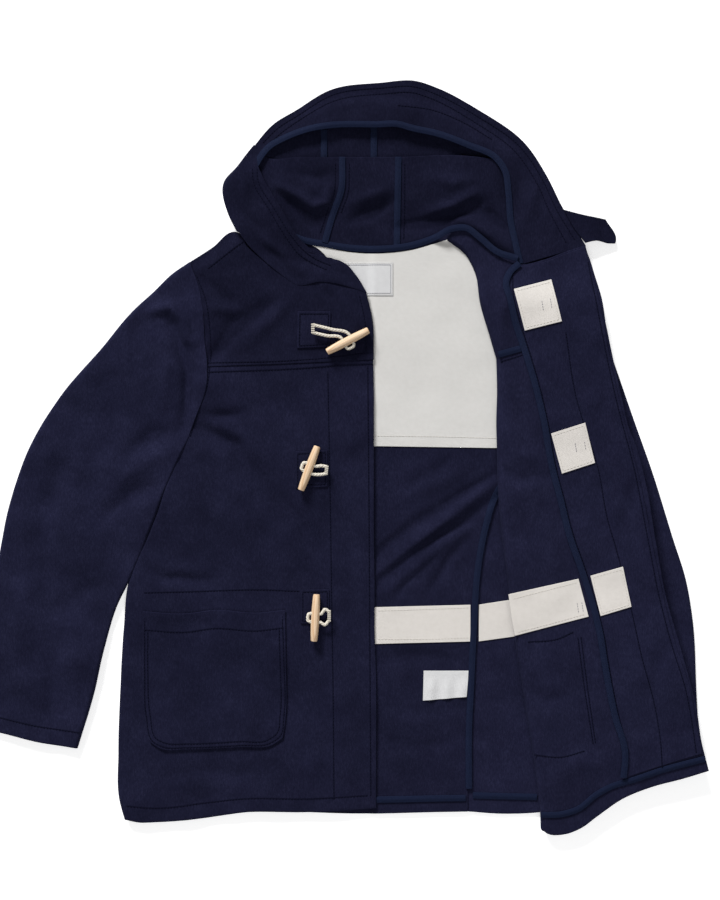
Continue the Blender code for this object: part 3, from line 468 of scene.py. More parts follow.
def turned(name, runs, levels, tube=False, finish=NAVY):
    """Cloth in layers, from the lowest, that joins in a half-round fold at the end of each layer."""
    sizes = [flat_size(run) for run in runs]
    length = max(size[1] for size in sizes)
    counts = [max(2, round(size[0] / CLOTH_STEP)) for size in sizes]
    along = max(2, round(length / CLOTH_STEP))
    points = turned_rows(runs, levels, counts, along)
    across = points.shape[1] - 1
    walked = np.cumsum(np.linalg.norm(np.diff(points, axis=1), axis=2), axis=1)
    walked = np.concatenate((np.zeros((along + 1, 1)), walked), axis=1)
    bm, weave = grid(across, along)
    for vert in bm.verts:
        column = round((vert.co.x + 0.5) * across)
        row = round((vert.co.y + 0.5) * along)
        vert.co = points[row, column]
        vert[weave] = (walked[row, column], length * row / along, 0.0)
    if tube:
        bmesh.ops.remove_doubles(bm, verts=bm.verts[:], dist=WELD)
    piece = place_piece(name, bm, finish, name)
    wall = piece.modifiers.new("cloth", "SOLIDIFY")
    wall.thickness = MELTON
    wall.offset = 0.0
    rounded(piece)


# ---------------------------------------------------------------- thread

def painted_groove_shade(name, routes, lie):
    """A narrow dark strip lying on the cloth along a row of stitches: painted shade for the groove that the
    stitches pull into the nap.
    """
    bm = bmesh.new()
    for points in routes:
        route = line(points)
        plan = strip(route, GROOVE_SHADE_WIDTH)
        count = max(2, int(measure(route) / FINE_STEP))
        times = np.linspace(0, 1, count + 1)
        left, right = (
            [bm.verts.new((x, y, z)) for (x, y), z in zip(side, lie(*side.T) + GROOVE_SHADE_LIFT)]
            for side in (plan(0 * times, times), plan(0 * times + 1, times))
        )
        for k in range(count):
            bm.faces.new((left[k], right[k], right[k + 1], left[k + 1]))
    closed(bm, -GROOVE_SHADE_THICKNESS)
    place_piece(name, bm, GROOVE_SHADE)


def stitches(name, routes, lie, finish, size=STITCH_RADIUS, step=STITCH_STEP, length=STITCH_LENGTH):
    """Rows of stitches along the routes, lying on the surface whose height lie gives."""
    # Navy rows get a dark strip of painted groove shade under them.
    if finish is NAVY_THREAD:
        painted_groove_shade("painted_groove_shade_" + name, routes, lie)
    bm = bmesh.new()
    shape = Matrix.Diagonal((length / 2, size, size, 1.0))
    for points in routes:
        route = line(points)
        count = max(1, int(measure(route) / step))
        times = (np.arange(count) + 0.5) / count
        ahead = route(np.minimum(times + 0.004, 1)) - route(np.maximum(times - 0.004, 0))
        ahead /= np.linalg.norm(ahead, axis=1, keepdims=True)
        places = route(times)
        heights = lie(*places.T) + size * STITCH_PROUD + 0 * times
        for (x, y), z, (dx, dy) in zip(places, heights, ahead):
            turn = Matrix.Rotation(math.atan2(dy, dx), 4, "Z")
            bmesh.ops.create_uvsphere(bm, u_segments=6, v_segments=4, radius=1.0,
                                      matrix=Matrix.Translation((x, y, z)) @ turn @ shape)
    place_piece(name, bm, finish)


def inset(corners, share):
    """The four sides of a square's seam, drawn in from its corners towards its middle."""
    corners = [np.array(corner) for corner in corners]
    mid = sum(corners) / 4
    a, b, c, d = (mid + share * (corner - mid) for corner in corners)
    return [[a, b], [b, d], [d, c], [c, a]]


# ---------------------------------------------------------------- outlines, in rows of x and y

# Hem to armhole: hidden side seam, side fold, front edge
TOGGLE_FRONT = [
    ((-0.157, -0.463), (-0.281, -0.473), (0.047, -0.459)),
    ((-0.160, -0.447), (-0.287, -0.451), (0.047, -0.442)),
    ((-0.161, -0.387), (-0.289, -0.387), (0.047, -0.382)),
    ((-0.163, -0.295), (-0.286, -0.295), (0.047, -0.291)),
    ((-0.163, -0.224), (-0.282, -0.224), (0.045, -0.224)),
    ((-0.165, -0.165), (-0.276, -0.165), (0.045, -0.165)),
    ((-0.161, -0.096), (-0.248, -0.096), (0.044, -0.096)),
    ((-0.173, -0.031), (-0.225, -0.031), (0.044, -0.031)),
    ((-0.190, 0.026), (-0.203, 0.026), (0.044, 0.026)),
    ((-0.178, 0.055), (-0.191, 0.055), (0.044, 0.055)),
    ((-0.166, 0.086), (-0.179, 0.086), (0.044, 0.088)),
    ((-0.161, 0.116), (-0.174, 0.117), (0.043, 0.127)),
]
# Hem to yoke seam: side seam, hidden side fold, fold that shows, front edge
LOOP_FRONT = [
    ((0.166, -0.464), (0.377, -0.429), (0.261, -0.484), (0.478, -0.408)),
    ((0.166, -0.443), (0.373, -0.411), (0.260, -0.455), (0.473, -0.389)),
    ((0.166, -0.402), (0.367, -0.376), (0.255, -0.415), (0.468, -0.369)),
    ((0.168, -0.359), (0.357, -0.333), (0.247, -0.363), (0.461, -0.324)),
    ((0.170, -0.293), (0.347, -0.276), (0.237, -0.299), (0.442, -0.252)),
    ((0.174, -0.213), (0.338, -0.220), (0.226, -0.229), (0.422, -0.181)),
    ((0.178, -0.153), (0.328, -0.161), (0.218, -0.161), (0.409, -0.113)),
    ((0.190, -0.092), (0.316, -0.096), (0.209, -0.090), (0.398, -0.044)),
    ((0.205, -0.049), (0.308, -0.047), (0.205, -0.038), (0.385, 0.008)),
    ((0.239, -0.012), (0.303, -0.008), (0.204, 0.001), (0.373, 0.040)),
    ((0.286, 0.023), (0.299, 0.023), (0.203, 0.040), (0.365, 0.075)),
    ((0.272, 0.077), (0.285, 0.077), (0.204, 0.083), (0.354, 0.125)),
    ((0.261, 0.131), (0.274, 0.131), (0.203, 0.129), (0.343, 0.178)),
]
# Yoke seam to neck: back of the armhole turning, armhole, fold that shows, front edge
LOOP_YOKE = [
    ((0.261, 0.135), (0.274, 0.135), (0.203, 0.132), (0.343, 0.181)),
    ((0.264, 0.159), (0.277, 0.159), (0.194, 0.157), (0.339, 0.205)),
    ((0.273, 0.198), (0.286, 0.198), (0.182, 0.199), (0.331, 0.234)),
    ((0.282, 0.226), (0.295, 0.226), (0.176, 0.239), (0.325, 0.255)),
    ((0.289, 0.242), (0.302, 0.242), (0.163, 0.264), (0.321, 0.266)),
    ((0.292, 0.251), (0.305, 0.251), (0.139, 0.282), (0.319, 0.274)),
]

toggle_seam, toggle_fold, toggle_edge = columns(TOGGLE_FRONT)
loop_seam, hidden_fold, open_fold, loop_edge = columns(LOOP_FRONT)
yoke_turning, yoke_armhole, yoke_fold, _ = columns(LOOP_YOKE)

TOGGLE_HEM = line([(-0.281, -0.473), (-0.263, -0.477), (-0.240, -0.477), (-0.179, -0.472), (-0.121, -0.464),
                   (-0.047, -0.464), (0.047, -0.459)])
YOKE_SEAM = [(-0.174, 0.117), (-0.065, 0.121), (0.043, 0.127)]
TOGGLE_YOKE_SEAM = line(YOKE_SEAM)
BACK_HEM = line([(-0.156, -0.463), (-0.052, -0.465), (0.013, -0.467), (0.112, -0.465), (0.165, -0.464)])
LOOP_UNDER_HEM = line([(0.166, -0.464), (0.212, -0.467), (0.261, -0.465), (0.325, -0.451), (0.377, -0.429)])
LOOP_HEM = line([
    (0.261, -0.484), (0.270, -0.491), (0.289, -0.492), (0.312, -0.484), (0.334, -0.468), (0.367, -0.445),
    (0.406, -0.429), (0.450, -0.417), (0.478, -0.408),
])
LOOP_YOKE_SEAM = line([(0.203, 0.129), (0.233, 0.138), (0.286, 0.157), (0.343, 0.178)])
LOOP_NECK = line([
    (0.139, 0.282), (0.149, 0.294), (0.163, 0.296), (0.182, 0.279), (0.204, 0.261), (0.231, 0.249),
    (0.265, 0.255), (0.294, 0.266), (0.319, 0.274),
])

front_plan = patch(toggle_fold, toggle_edge, TOGGLE_HEM, TOGGLE_YOKE_SEAM)
open_plan = patch(open_fold, loop_edge, LOOP_HEM, LOOP_YOKE_SEAM)


# ---------------------------------------------------------------- heights

# The side fold of the opened front, as y and x
FOLD_X = np.array(sorted((row[1][1], row[1][0]) for row in LOOP_FRONT))

# Slow unevenness of cloth that lies loose: direction in degrees, wave length, height, phase
WAVES = [
    (24, 0.231, 0.00070, 0.4), (101, 0.172, 0.00055, 2.1), (63, 0.109, 0.00042, 4.0),
    (148, 0.081, 0.00034, 1.2), (8, 0.057, 0.00020, 5.1), (82, 0.043, 0.00016, 3.3),
]

# Creases: height, half width, and the line each runs along. A trough has a height under zero. Each part's
# heights are multiplied by its depth.
BACK_DEPTH = 1.2
SIDE_DEPTH = 1.7
SLEEVE_DEPTH = 1.9
OPEN_DEPTH = 1.7
HOOD_DEPTH = 2.0
TURN_DEPTH = 1.5
FACING_DEPTH = 1.5
SIDE_CREASES = [
    (-0.0030, 0.0075, [(-0.179, 0.056), (-0.163, 0.052), (-0.130, 0.053)]),
    (-0.0036, 0.0100, [(-0.186, 0.040), (-0.139, 0.014), (-0.121, -0.021), (-0.107, -0.047)]),
    (0.0020, 0.0090, [(-0.164, 0.043), (-0.125, 0.025), (-0.101, -0.016)]),
    (0.0016, 0.0090, [(-0.186, 0.016), (-0.153, -0.008), (-0.135, -0.047)]),
    (-0.0018, 0.0080, [(-0.174, -0.023), (-0.163, -0.042), (-0.159, -0.064)]),
    (-0.0020, 0.0070, [(-0.256, -0.142), (-0.233, -0.160), (-0.204, -0.160), (-0.163, -0.164)]),
    (0.0012, 0.0080, [(-0.247, -0.130), (-0.221, -0.146), (-0.175, -0.148)]),
    (-0.0018, 0.0090, [(-0.070, -0.059), (-0.048, -0.095), (-0.040, -0.129)]),
    (0.0012, 0.0110, [(-0.094, -0.083), (-0.073, -0.122), (-0.065, -0.161)]),
    (-0.0014, 0.0110, [(0.000, -0.057), (0.016, -0.109), (0.013, -0.174)]),
    (-0.0030, 0.0070, [(-0.191, 0.238), (-0.161, 0.214), (-0.129, 0.188)]),
    (-0.0042, 0.0095, [(-0.091, 0.195), (-0.133, 0.170), (-0.157, 0.138), (-0.174, 0.122)]),
    (0.0026, 0.0080, [(-0.172, 0.192), (-0.146, 0.192), (-0.122, 0.185)]),
    (0.0022, 0.0090, [(-0.117, 0.153), (-0.094, 0.174), (-0.065, 0.203)]),
    (-0.0016, 0.0060, [(-0.027, 0.218), (-0.013, 0.207), (-0.004, 0.195)]),
    (0.0016, 0.0060, [(0.001, 0.205), (0.019, 0.179), (0.023, 0.164)]),
    (-0.0012, 0.0100, [(-0.247, -0.421), (-0.195, -0.411), (-0.117, -0.416)]),
    (0.0010, 0.0120, [(-0.052, -0.304), (-0.031, -0.356), (-0.036, -0.434)]),
]
BACK_CREASES = [
    (-0.0042, 0.0062, [(0.203, -0.025), (0.167, -0.046), (0.134, -0.068), (0.100, -0.088), (0.066, -0.113),
                       (0.048, -0.127)]),
    (0.0050, 0.0085, [(0.200, -0.034), (0.151, -0.073), (0.107, -0.109), (0.048, -0.155)]),
    (-0.0036, 0.0055, [(0.204, -0.053), (0.167, -0.085), (0.134, -0.100), (0.094, -0.126),
                       (0.048, -0.164)]),
    (0.0026, 0.0070, [(0.169, -0.092), (0.135, -0.116), (0.104, -0.143), (0.057, -0.179)]),
    (-0.0026, 0.0055, [(0.164, -0.111), (0.142, -0.135), (0.130, -0.157), (0.117, -0.177)]),
    (-0.0020, 0.0055, [(0.134, -0.122), (0.108, -0.146), (0.088, -0.163), (0.070, -0.189)]),
    (-0.0016, 0.0080, [(0.151, -0.001), (0.120, -0.021), (0.094, -0.036)]),
    (0.0014, 0.0080, [(0.179, -0.008), (0.130, -0.036), (0.078, -0.057)]),
    (-0.0016, 0.0090, [(0.052, -0.265), (0.104, -0.260), (0.164, -0.270)]),
    (-0.0014, 0.0090, [(0.057, -0.372), (0.111, -0.380), (0.161, -0.367)]),
    (0.0012, 0.0090, [(0.057, -0.343), (0.104, -0.348), (0.156, -0.338)]),
    (-0.0014, 0.0080, [(0.179, -0.338), (0.208, -0.341), (0.239, -0.335)]),
    (-0.0014, 0.0080, [(0.182, -0.391), (0.214, -0.393), (0.247, -0.385)]),
]
SLEEVE_CREASES = [
    (0.0042, 0.0065, [(-0.250, 0.187), (-0.220, 0.194), (-0.204, 0.177), (-0.199, 0.153), (-0.190, 0.148)]),
    (-0.0052, 0.0085, [(-0.218, 0.169), (-0.205, 0.138), (-0.196, 0.109), (-0.198, 0.075),
                       (-0.203, 0.040)]),
    (0.0020, 0.0110, [(-0.237, 0.164), (-0.226, 0.117), (-0.229, 0.068)]),
    (-0.0016, 0.0110, [(-0.250, 0.203), (-0.263, 0.164), (-0.265, 0.122)]),
    (-0.0026, 0.0110, [(-0.208, 0.031), (-0.244, 0.026), (-0.276, 0.005)]),
    (0.0020, 0.0110, [(-0.216, 0.005), (-0.252, -0.005), (-0.286, -0.031)]),
    (-0.0022, 0.0120, [(-0.234, -0.039), (-0.273, -0.052), (-0.317, -0.088)]),
    (-0.0016, 0.0140, [(-0.364, -0.018), (-0.385, -0.083), (-0.390, -0.148)]),
    (0.0018, 0.0150, [(-0.333, 0.034), (-0.348, -0.031), (-0.351, -0.096)]),
    (-0.0018, 0.0130, [(-0.296, -0.169), (-0.333, -0.177), (-0.369, -0.200)]),
    (0.0014, 0.0130, [(-0.416, -0.187), (-0.421, -0.252), (-0.419, -0.317)]),
    (-0.0014, 0.0110, [(-0.369, -0.252), (-0.377, -0.304), (-0.374, -0.354)]),
]
OPEN_CREASES = [
    (-0.0018, 0.0090, [(0.208, -0.018), (0.234, -0.031), (0.268, -0.026)]),
    (0.0014, 0.0100, [(0.214, 0.034), (0.229, 0.005), (0.260, -0.008)]),
    (-0.0020, 0.0080, [(0.229, 0.086), (0.234, 0.047), (0.250, 0.013)]),
    (-0.0016, 0.0100, [(0.244, -0.304), (0.267, -0.317), (0.294, -0.312)]),
    (-0.0014, 0.0110, [(0.390, -0.031), (0.367, -0.083), (0.385, -0.130)]),
    (0.0012, 0.0120, [(0.338, 0.099), (0.322, 0.060), (0.338, 0.021)]),
    (-0.0014, 0.0110, [(0.421, -0.239), (0.403, -0.304), (0.421, -0.356)]),
    (0.0012, 0.0110, [(0.286, -0.415), (0.312, -0.395), (0.343, -0.400)]),
    (-0.0022, 0.0075, [(0.204, 0.203), (0.224, 0.166), (0.234, 0.135)]),
    (0.0016, 0.0080, [(0.208, 0.229), (0.213, 0.198), (0.208, 0.156)]),
]
HOOD_CREASES = [
    (-0.0040, 0.0062, [(-0.074, 0.343), (-0.062, 0.328), (-0.052, 0.316), (-0.036, 0.302)]),
    (0.0040, 0.0066, [(-0.081, 0.351), (-0.051, 0.336), (-0.035, 0.324), (-0.018, 0.330), (-0.013, 0.348)]),
    (-0.0026, 0.0068, [(0.016, 0.307), (0.047, 0.318), (0.066, 0.330)]),
    (0.0016, 0.0078, [(0.013, 0.328), (0.039, 0.338), (0.065, 0.348)]),
    (-0.0038, 0.0065, [(0.077, 0.298), (0.121, 0.303), (0.148, 0.314), (0.185, 0.329)]),
    (0.0032, 0.0075, [(0.114, 0.317), (0.148, 0.325), (0.174, 0.341)]),
    (0.0030, 0.0080, [(0.148, 0.312), (0.182, 0.296), (0.198, 0.286), (0.225, 0.266)]),
    (-0.0020, 0.0065, [(0.169, 0.322), (0.195, 0.315), (0.221, 0.291)]),
    (0.0014, 0.0080, [(0.117, 0.364), (0.146, 0.354), (0.169, 0.361)]),
    (-0.0014, 0.0080, [(-0.057, 0.369), (-0.031, 0.361), (-0.008, 0.369)]),
]
CROWN_CREASES = [
    (-0.0016, 0.0080, [(0.083, 0.426), (0.117, 0.411), (0.159, 0.413)]),
    (0.0014, 0.0090, [(-0.003, 0.421), (0.016, 0.408), (0.036, 0.413)]),
    (-0.0014, 0.0080, [(-0.083, 0.395), (-0.057, 0.411), (-0.029, 0.411)]),
]
TURN_CREASES = [
    (-0.0020, 0.0060, [(-0.094, 0.268), (-0.071, 0.257), (-0.043, 0.248), (-0.022, 0.237)]),
    (0.0030, 0.0065, [(-0.099, 0.283), (-0.073, 0.260), (-0.052, 0.244), (-0.035, 0.230)]),
    (0.0018, 0.0060, [(-0.047, 0.247), (-0.026, 0.238), (0.013, 0.222)]),
    (0.0016, 0.0055, [(-0.135, 0.369), (-0.126, 0.354), (-0.120, 0.330)]),
    (-0.0016, 0.0055, [(-0.125, 0.374), (-0.114, 0.351), (-0.101, 0.325)]),
    (-0.0014, 0.0065, [(-0.135, 0.325), (-0.117, 0.307), (-0.096, 0.291)]),
]
FACING_CREASES = [
    (0.0020, 0.0075, [(0.257, 0.354), (0.251, 0.333), (0.247, 0.312)]),
    (-0.0016, 0.0070, [(0.234, 0.364), (0.231, 0.338), (0.234, 0.315)]),
    (-0.0014, 0.0080, [(0.169, 0.442), (0.208, 0.419), (0.234, 0.398)]),
    (0.0012, 0.0080, [(-0.052, 0.439), (-0.005, 0.458), (0.052, 0.463)]),
    (-0.0012, 0.0080, [(0.026, 0.471), (0.078, 0.468), (0.120, 0.458)]),
]


def off_line(x, y, points):
    """How far places are from a line of straight steps, and how far along it they lie, from 0 to 1."""
    x, y = np.broadcast_arrays(np.asarray(x, float), np.asarray(y, float))
    points = np.array(points, float)
    steps = np.linalg.norm(np.diff(points, axis=0), axis=1)
    starts = np.concatenate(([0], np.cumsum(steps)))
    nearest, along = np.full(x.shape, 9.0), np.zeros(x.shape)
    for (ax, ay), (bx, by), start, length in zip(points, points[1:], starts, steps):
        dx, dy = bx - ax, by - ay
        t = np.clip(((x - ax) * dx + (y - ay) * dy) / length ** 2, 0, 1)
        away = np.hypot(x - ax - t * dx, y - ay - t * dy)
        along = np.where(away < nearest, (start + t * length) / starts[-1], along)
        nearest = np.minimum(away, nearest)
    return nearest, along


def creases(rows, x, y, depth=1.0):
    height = 0.0 * x + 0.0 * y
    for top, half_width, points in rows:
        away, t = off_line(x, y, points)
        taper = np.sin(math.pi * (0.12 + 0.76 * t))
        height = height + depth * top * np.exp(-(away / half_width) ** 2) * taper
    return height


def loose(x, y, share=1.0):
    height = 0.0 * x + 0.0 * y
    for direction, length, top, phase in WAVES:
        across, along = math.cos(math.radians(direction)), math.sin(math.radians(direction))
        wander = np.sin((x * along - y * across) * 2 * math.pi / (1.6 * length) + 2 * phase)
        height = height + top * np.sin((x * across + y * along) * 2 * math.pi / length + phase + wander)
    return share * height


def ramp(value, start, reach):
    """0 before a start, rising to 1 at a reach from it. A reach under zero goes the other way."""
    return ease((value - start) / reach)


def near(x, y, points, reach):
    """1 on a line, falling to 0 at a reach from it."""
    return ease(1 - off_line(x, y, points)[0] / reach)


def above(lie, *steps):
    """The height of what lies over or under another surface, by the steps given."""
    return lambda x, y: sum(steps, lie(x, y))


# Where the layers rise and fall across the coat or along it: the start, and the reach
BACK_SHOWS = (0.034, 0.012)
NECK_FALL = (0.190, 0.065)
HEM_FALL = (-0.367, -0.128)
TUCK_RISE = (0.304, 0.057)
TUCK_LEFT = (-0.101, 0.033)
TUCK_RIGHT = (0.227, -0.026)
THROAT_FALL = (0.372, -0.080)
THROAT_SIDE = (0.208, 0.020)
TURN_RISE = (0.252, 0.045)
TURN_FALL = (0.3955, -0.030)
TURN_DROP = (0.352, 0.040)
FACING_REACH = (0.0, 0.040)
SLEEVE_FALL = (0.040, -0.022)
SLEEVE_TOP = (0.151, -0.070)
TAB_FALL = (0.360, -0.035)
LABEL_HANGS = (-0.286, -0.020)

RESTING = 0.0011
LIFTED = 0.0016
LOWEST = 0.0002
HOOD_REST = 0.0012
SEAM_RIDGE = 0.0012
DEEPEST_SIDE_FOLD = 0.0046


def rest_lie(x, y):
    """Cloth that lies on the surface, lifted a little by its own unevenness."""
    return RESTING + loose(x, y, 0.45)


def back_lie(x, y):
    """The back is flat where the closed front covers it, and uneven inside the coat."""
    shown = ramp(x, *BACK_SHOWS)
    uneven = rest_lie(x, y) + LIFTED + creases(BACK_CREASES, x, y, BACK_DEPTH)
    return np.maximum(LOWEST + shown * uneven, LOWEST)


def side_swell(x, y):
    swell = loose(x, y, 1.5) + creases(SIDE_CREASES, x, y, SIDE_DEPTH)
    return np.maximum(swell, -DEEPEST_SIDE_FOLD)


on_back = above(back_lie, MELTON, SEAM)
on_rest = above(rest_lie, MELTON, SEAM)
rest_middle = above(rest_lie, MELTON / 2)
on_front = above(side_swell, FRONT_LIFT + MELTON + SEAM)
front_middle = above(side_swell, FRONT_LIFT + MELTON / 2)

SHOULDER = [(-0.194, 0.253), (-0.135, 0.295)]


def yoke_lie(x, y):
    """The toggle side's yoke comes down to the back along the shoulder, and laps over the front."""
    drop = (FRONT_LIFT - MELTON - 2 * SEAM) * near(x, y, SHOULDER, 0.018)
    return FRONT_LIFT - drop + side_swell(x, y) + SEAM_RIDGE * near(x, y, YOKE_SEAM, 0.010)


def open_lie(x, y):
    """The opened front drops towards the neck and towards the hem."""
    neck_drop = (OPEN_LIFT - NECK_LIFT) * ramp(y, *NECK_FALL)
    hem_drop = HEM_DROP * ramp(y, *HEM_FALL)
    return OPEN_LIFT - (neck_drop + hem_drop) + loose(x, y, 0.9) + creases(OPEN_CREASES, x, y, OPEN_DEPTH)


on_open = above(open_lie, MELTON, SEAM)
on_facing = above(on_open, FACING, 2 * SEAM)


def under_middle(x, y):
    """The middle of the opened front's hidden layer, which is flat."""
    return UNDER_LIFT + MELTON / 2 + 0.0 * x


def hood_lie(x, y):
    """The hood's lower part rises from the neck to the fold that lies over its crown."""
    lift = HOOD_LIFT * ramp(y, *TUCK_RISE) * ramp(x, *TUCK_RIGHT) * ramp(x, *TUCK_LEFT)
    lie = lift + rest_lie(x, y) + HOOD_REST + creases(HOOD_CREASES, x, y, HOOD_DEPTH)
    return np.maximum(lie, LOWEST)


def crown_lie(x, y):
    return np.maximum(rest_lie(x, y) + creases(CROWN_CREASES, x, y), LOWEST)


on_hood = above(hood_lie, MELTON, SEAM)
on_crown = above(crown_lie, MELTON, SEAM)

RIM = [
    (-0.122, 0.390), (-0.112, 0.404), (-0.088, 0.432), (-0.056, 0.452), (-0.014, 0.477), (0.055, 0.487),
    (0.099, 0.489), (0.127, 0.480), (0.183, 0.450), (0.240, 0.409), (0.270, 0.365), (0.289, 0.325),
    (0.319, 0.277),
]


def facing_lie(x, y):
    """The hood's facing stands off the hood towards its bound edge and towards the throat."""
    inner = FACING_RISE * ramp(off_line(x, y, RIM)[0], *FACING_REACH)
    throat = (NECK_LIFT - FACING_LIFT) * ramp(y, *THROAT_FALL) * ramp(x, *THROAT_SIDE)
    uneven = loose(x, y, 0.7) + creases(FACING_CREASES, x, y, FACING_DEPTH)
    return FACING_LIFT + np.maximum(inner, throat) + uneven


TURN_SEAM = [
    (-0.135, 0.294), (-0.120, 0.273), (-0.097, 0.251), (-0.077, 0.235), (-0.055, 0.221), (-0.026, 0.226),
    (0.017, 0.218), (0.035, 0.212),
]


def hood_turn_middle(x, y):
    """The side of the hood that turns over to show its outside stands up from the neck seam."""
    rise = ramp(y, *TURN_RISE) * ramp(y, *TURN_FALL)
    drop = HOOD_TURN_DROP * ramp(y, *TURN_DROP)
    lift = FRONT_LIFT + MELTON / 2 + (HOOD_TURN_LIFT - FRONT_LIFT) * rise - drop
    seam = SEAM_RIDGE * near(x, y, TURN_SEAM, 0.012)
    return lift + loose(x, y, 0.7) + creases(TURN_CREASES, x, y, TURN_DEPTH) + seam


def sleeve_folds(x, y):
    return loose(x, y, 1.6) + creases(SLEEVE_CREASES, x, y, SLEEVE_DEPTH)


def hidden_sleeve_folds(x, y):
    return loose(x, y, 0.5)


def hidden_sleeve_lie(x, y):
    """The loop side's sleeve lies over the body's side fold and falls to the surface beyond it."""
    side = np.interp(y, FOLD_X[:, 0], FOLD_X[:, 1])
    over = ramp(x - side, *SLEEVE_FALL) * ramp(y, *SLEEVE_TOP)
    return REST + (HIDDEN_SLEEVE_LIFT - REST) * over


def tab_lie(x, y):
    """The throat tab falls from the hood's edge to the surface."""
    return FACING_LIFT + TAB_DROP * ramp(x, *TAB_FALL) + loose(x, y, 0.4)


# ---------------------------------------------------------------- body

def make_back():
    left = line([
        (-0.156, -0.463), (-0.159, -0.387), (-0.161, -0.295), (-0.161, -0.224), (-0.163, -0.165),
        (-0.159, -0.096), (-0.170, -0.031), (-0.181, 0.025), (-0.170, 0.053), (-0.159, 0.086),
        (-0.153, 0.112), (-0.166, 0.131), (-0.172, 0.147), (-0.174, 0.183), (-0.179, 0.220),
        (-0.191, 0.251),
    ])
    right = line([
        (0.167, -0.464), (0.167, -0.402), (0.168, -0.359), (0.171, -0.293), (0.175, -0.213),
        (0.178, -0.153), (0.189, -0.092), (0.200, -0.053), (0.225, -0.013), (0.264, 0.023), (0.261, 0.077),
        (0.252, 0.131), (0.256, 0.159), (0.267, 0.198), (0.277, 0.226), (0.287, 0.250),
    ])
    top = line([
        (-0.191, 0.251), (-0.166, 0.268), (-0.136, 0.290), (-0.101, 0.290), (-0.052, 0.288),
        (-0.018, 0.276), (0.036, 0.268), (0.091, 0.272), (0.130, 0.285), (0.146, 0.291), (0.182, 0.276),
        (0.204, 0.257), (0.234, 0.246), (0.267, 0.251), (0.287, 0.250),
    ])
    lay("back_panel", patch(left, right, BACK_HEM, top), back_lie, MELTON, NAVY)


def make_toggle_side():
    under = between(toggle_seam, toggle_fold)
    turned("front_toggle_side", [under, front_plan], [rest_middle, front_middle])
    armhole = line([(-0.176, 0.116), (-0.176, 0.147), (-0.178, 0.183), (-0.185, 0.220), (-0.199, 0.251)])
    neck = line([
        (-0.199, 0.251), (-0.166, 0.272), (-0.139, 0.292), (-0.135, 0.292), (-0.121, 0.273),
        (-0.097, 0.252), (-0.075, 0.235), (-0.055, 0.222), (-0.026, 0.227), (0.017, 0.220), (0.034, 0.213),
    ])
    edge = line([(0.044, 0.125), (0.042, 0.179), (0.034, 0.213)])
    seam = line([(-0.176, 0.116), (-0.065, 0.120), (0.044, 0.125)])
    # The yoke takes the darker copy of the cloth: painted shade.
    lay("yoke_toggle_side", patch(armhole, edge, seam, neck), yoke_lie, MELTON, PAINTED_SHADE_NAVY)


# The loop side's yoke overlaps the front below it, and its edges keep to these lines
YOKE_MEETING = line([(0.203, 0.126), (0.233, 0.135), (0.286, 0.153), (0.344, 0.175)])
YOKE_EDGE = line([(0.344, 0.175), (0.339, 0.205), (0.331, 0.234), (0.325, 0.255), (0.321, 0.266),
                  (0.319, 0.274)])
YOKE_FOLD = line([(0.203, 0.126), (0.194, 0.157), (0.182, 0.199), (0.176, 0.239), (0.163, 0.264),
                  (0.139, 0.282)])
yoke_meeting_plan = patch(YOKE_FOLD, YOKE_EDGE, YOKE_MEETING, LOOP_NECK)


def make_loop_side():
    under = patch(loop_seam, hidden_fold, LOOP_UNDER_HEM, straight(loop_seam(1.0), hidden_fold(1.0)))
    levels = [rest_middle, under_middle, above(open_lie, MELTON / 2)]
    # The loop side's front and yoke take a brighter copy of the cloth: painted light.
    turned("front_loop_side", [under, between(hidden_fold, open_fold), open_plan], levels, finish=PAINTED_LIGHT_OPEN_NAVY)
    turning = [between(yoke_turning, yoke_armhole), between(yoke_armhole, yoke_fold), yoke_meeting_plan]
    turned("yoke_loop_side", turning, levels, finish=PAINTED_LIGHT_OPEN_NAVY)


def sleeve(name, plan, lie, air, folds):
    """A flattened tube: from the middle of its underside out, over the top and back under."""
    lower = above(lie, MELTON / 2)

    def upper(x, y):
        return lower(x, y) + air + MELTON + np.maximum(folds(x, y), -air)

    def outwards(s, v):
        return plan(0.5 - 0.5 * np.asarray(s), v)

    def back_in(s, v):
        return plan(1 - 0.5 * np.asarray(s), v)

    # The sleeves take a brighter copy of the cloth: painted light.
    turned(name, [outwards, plan, back_in], [lower, upper, lower], tube=True, finish=PAINTED_LIGHT_SLEEVE_NAVY)


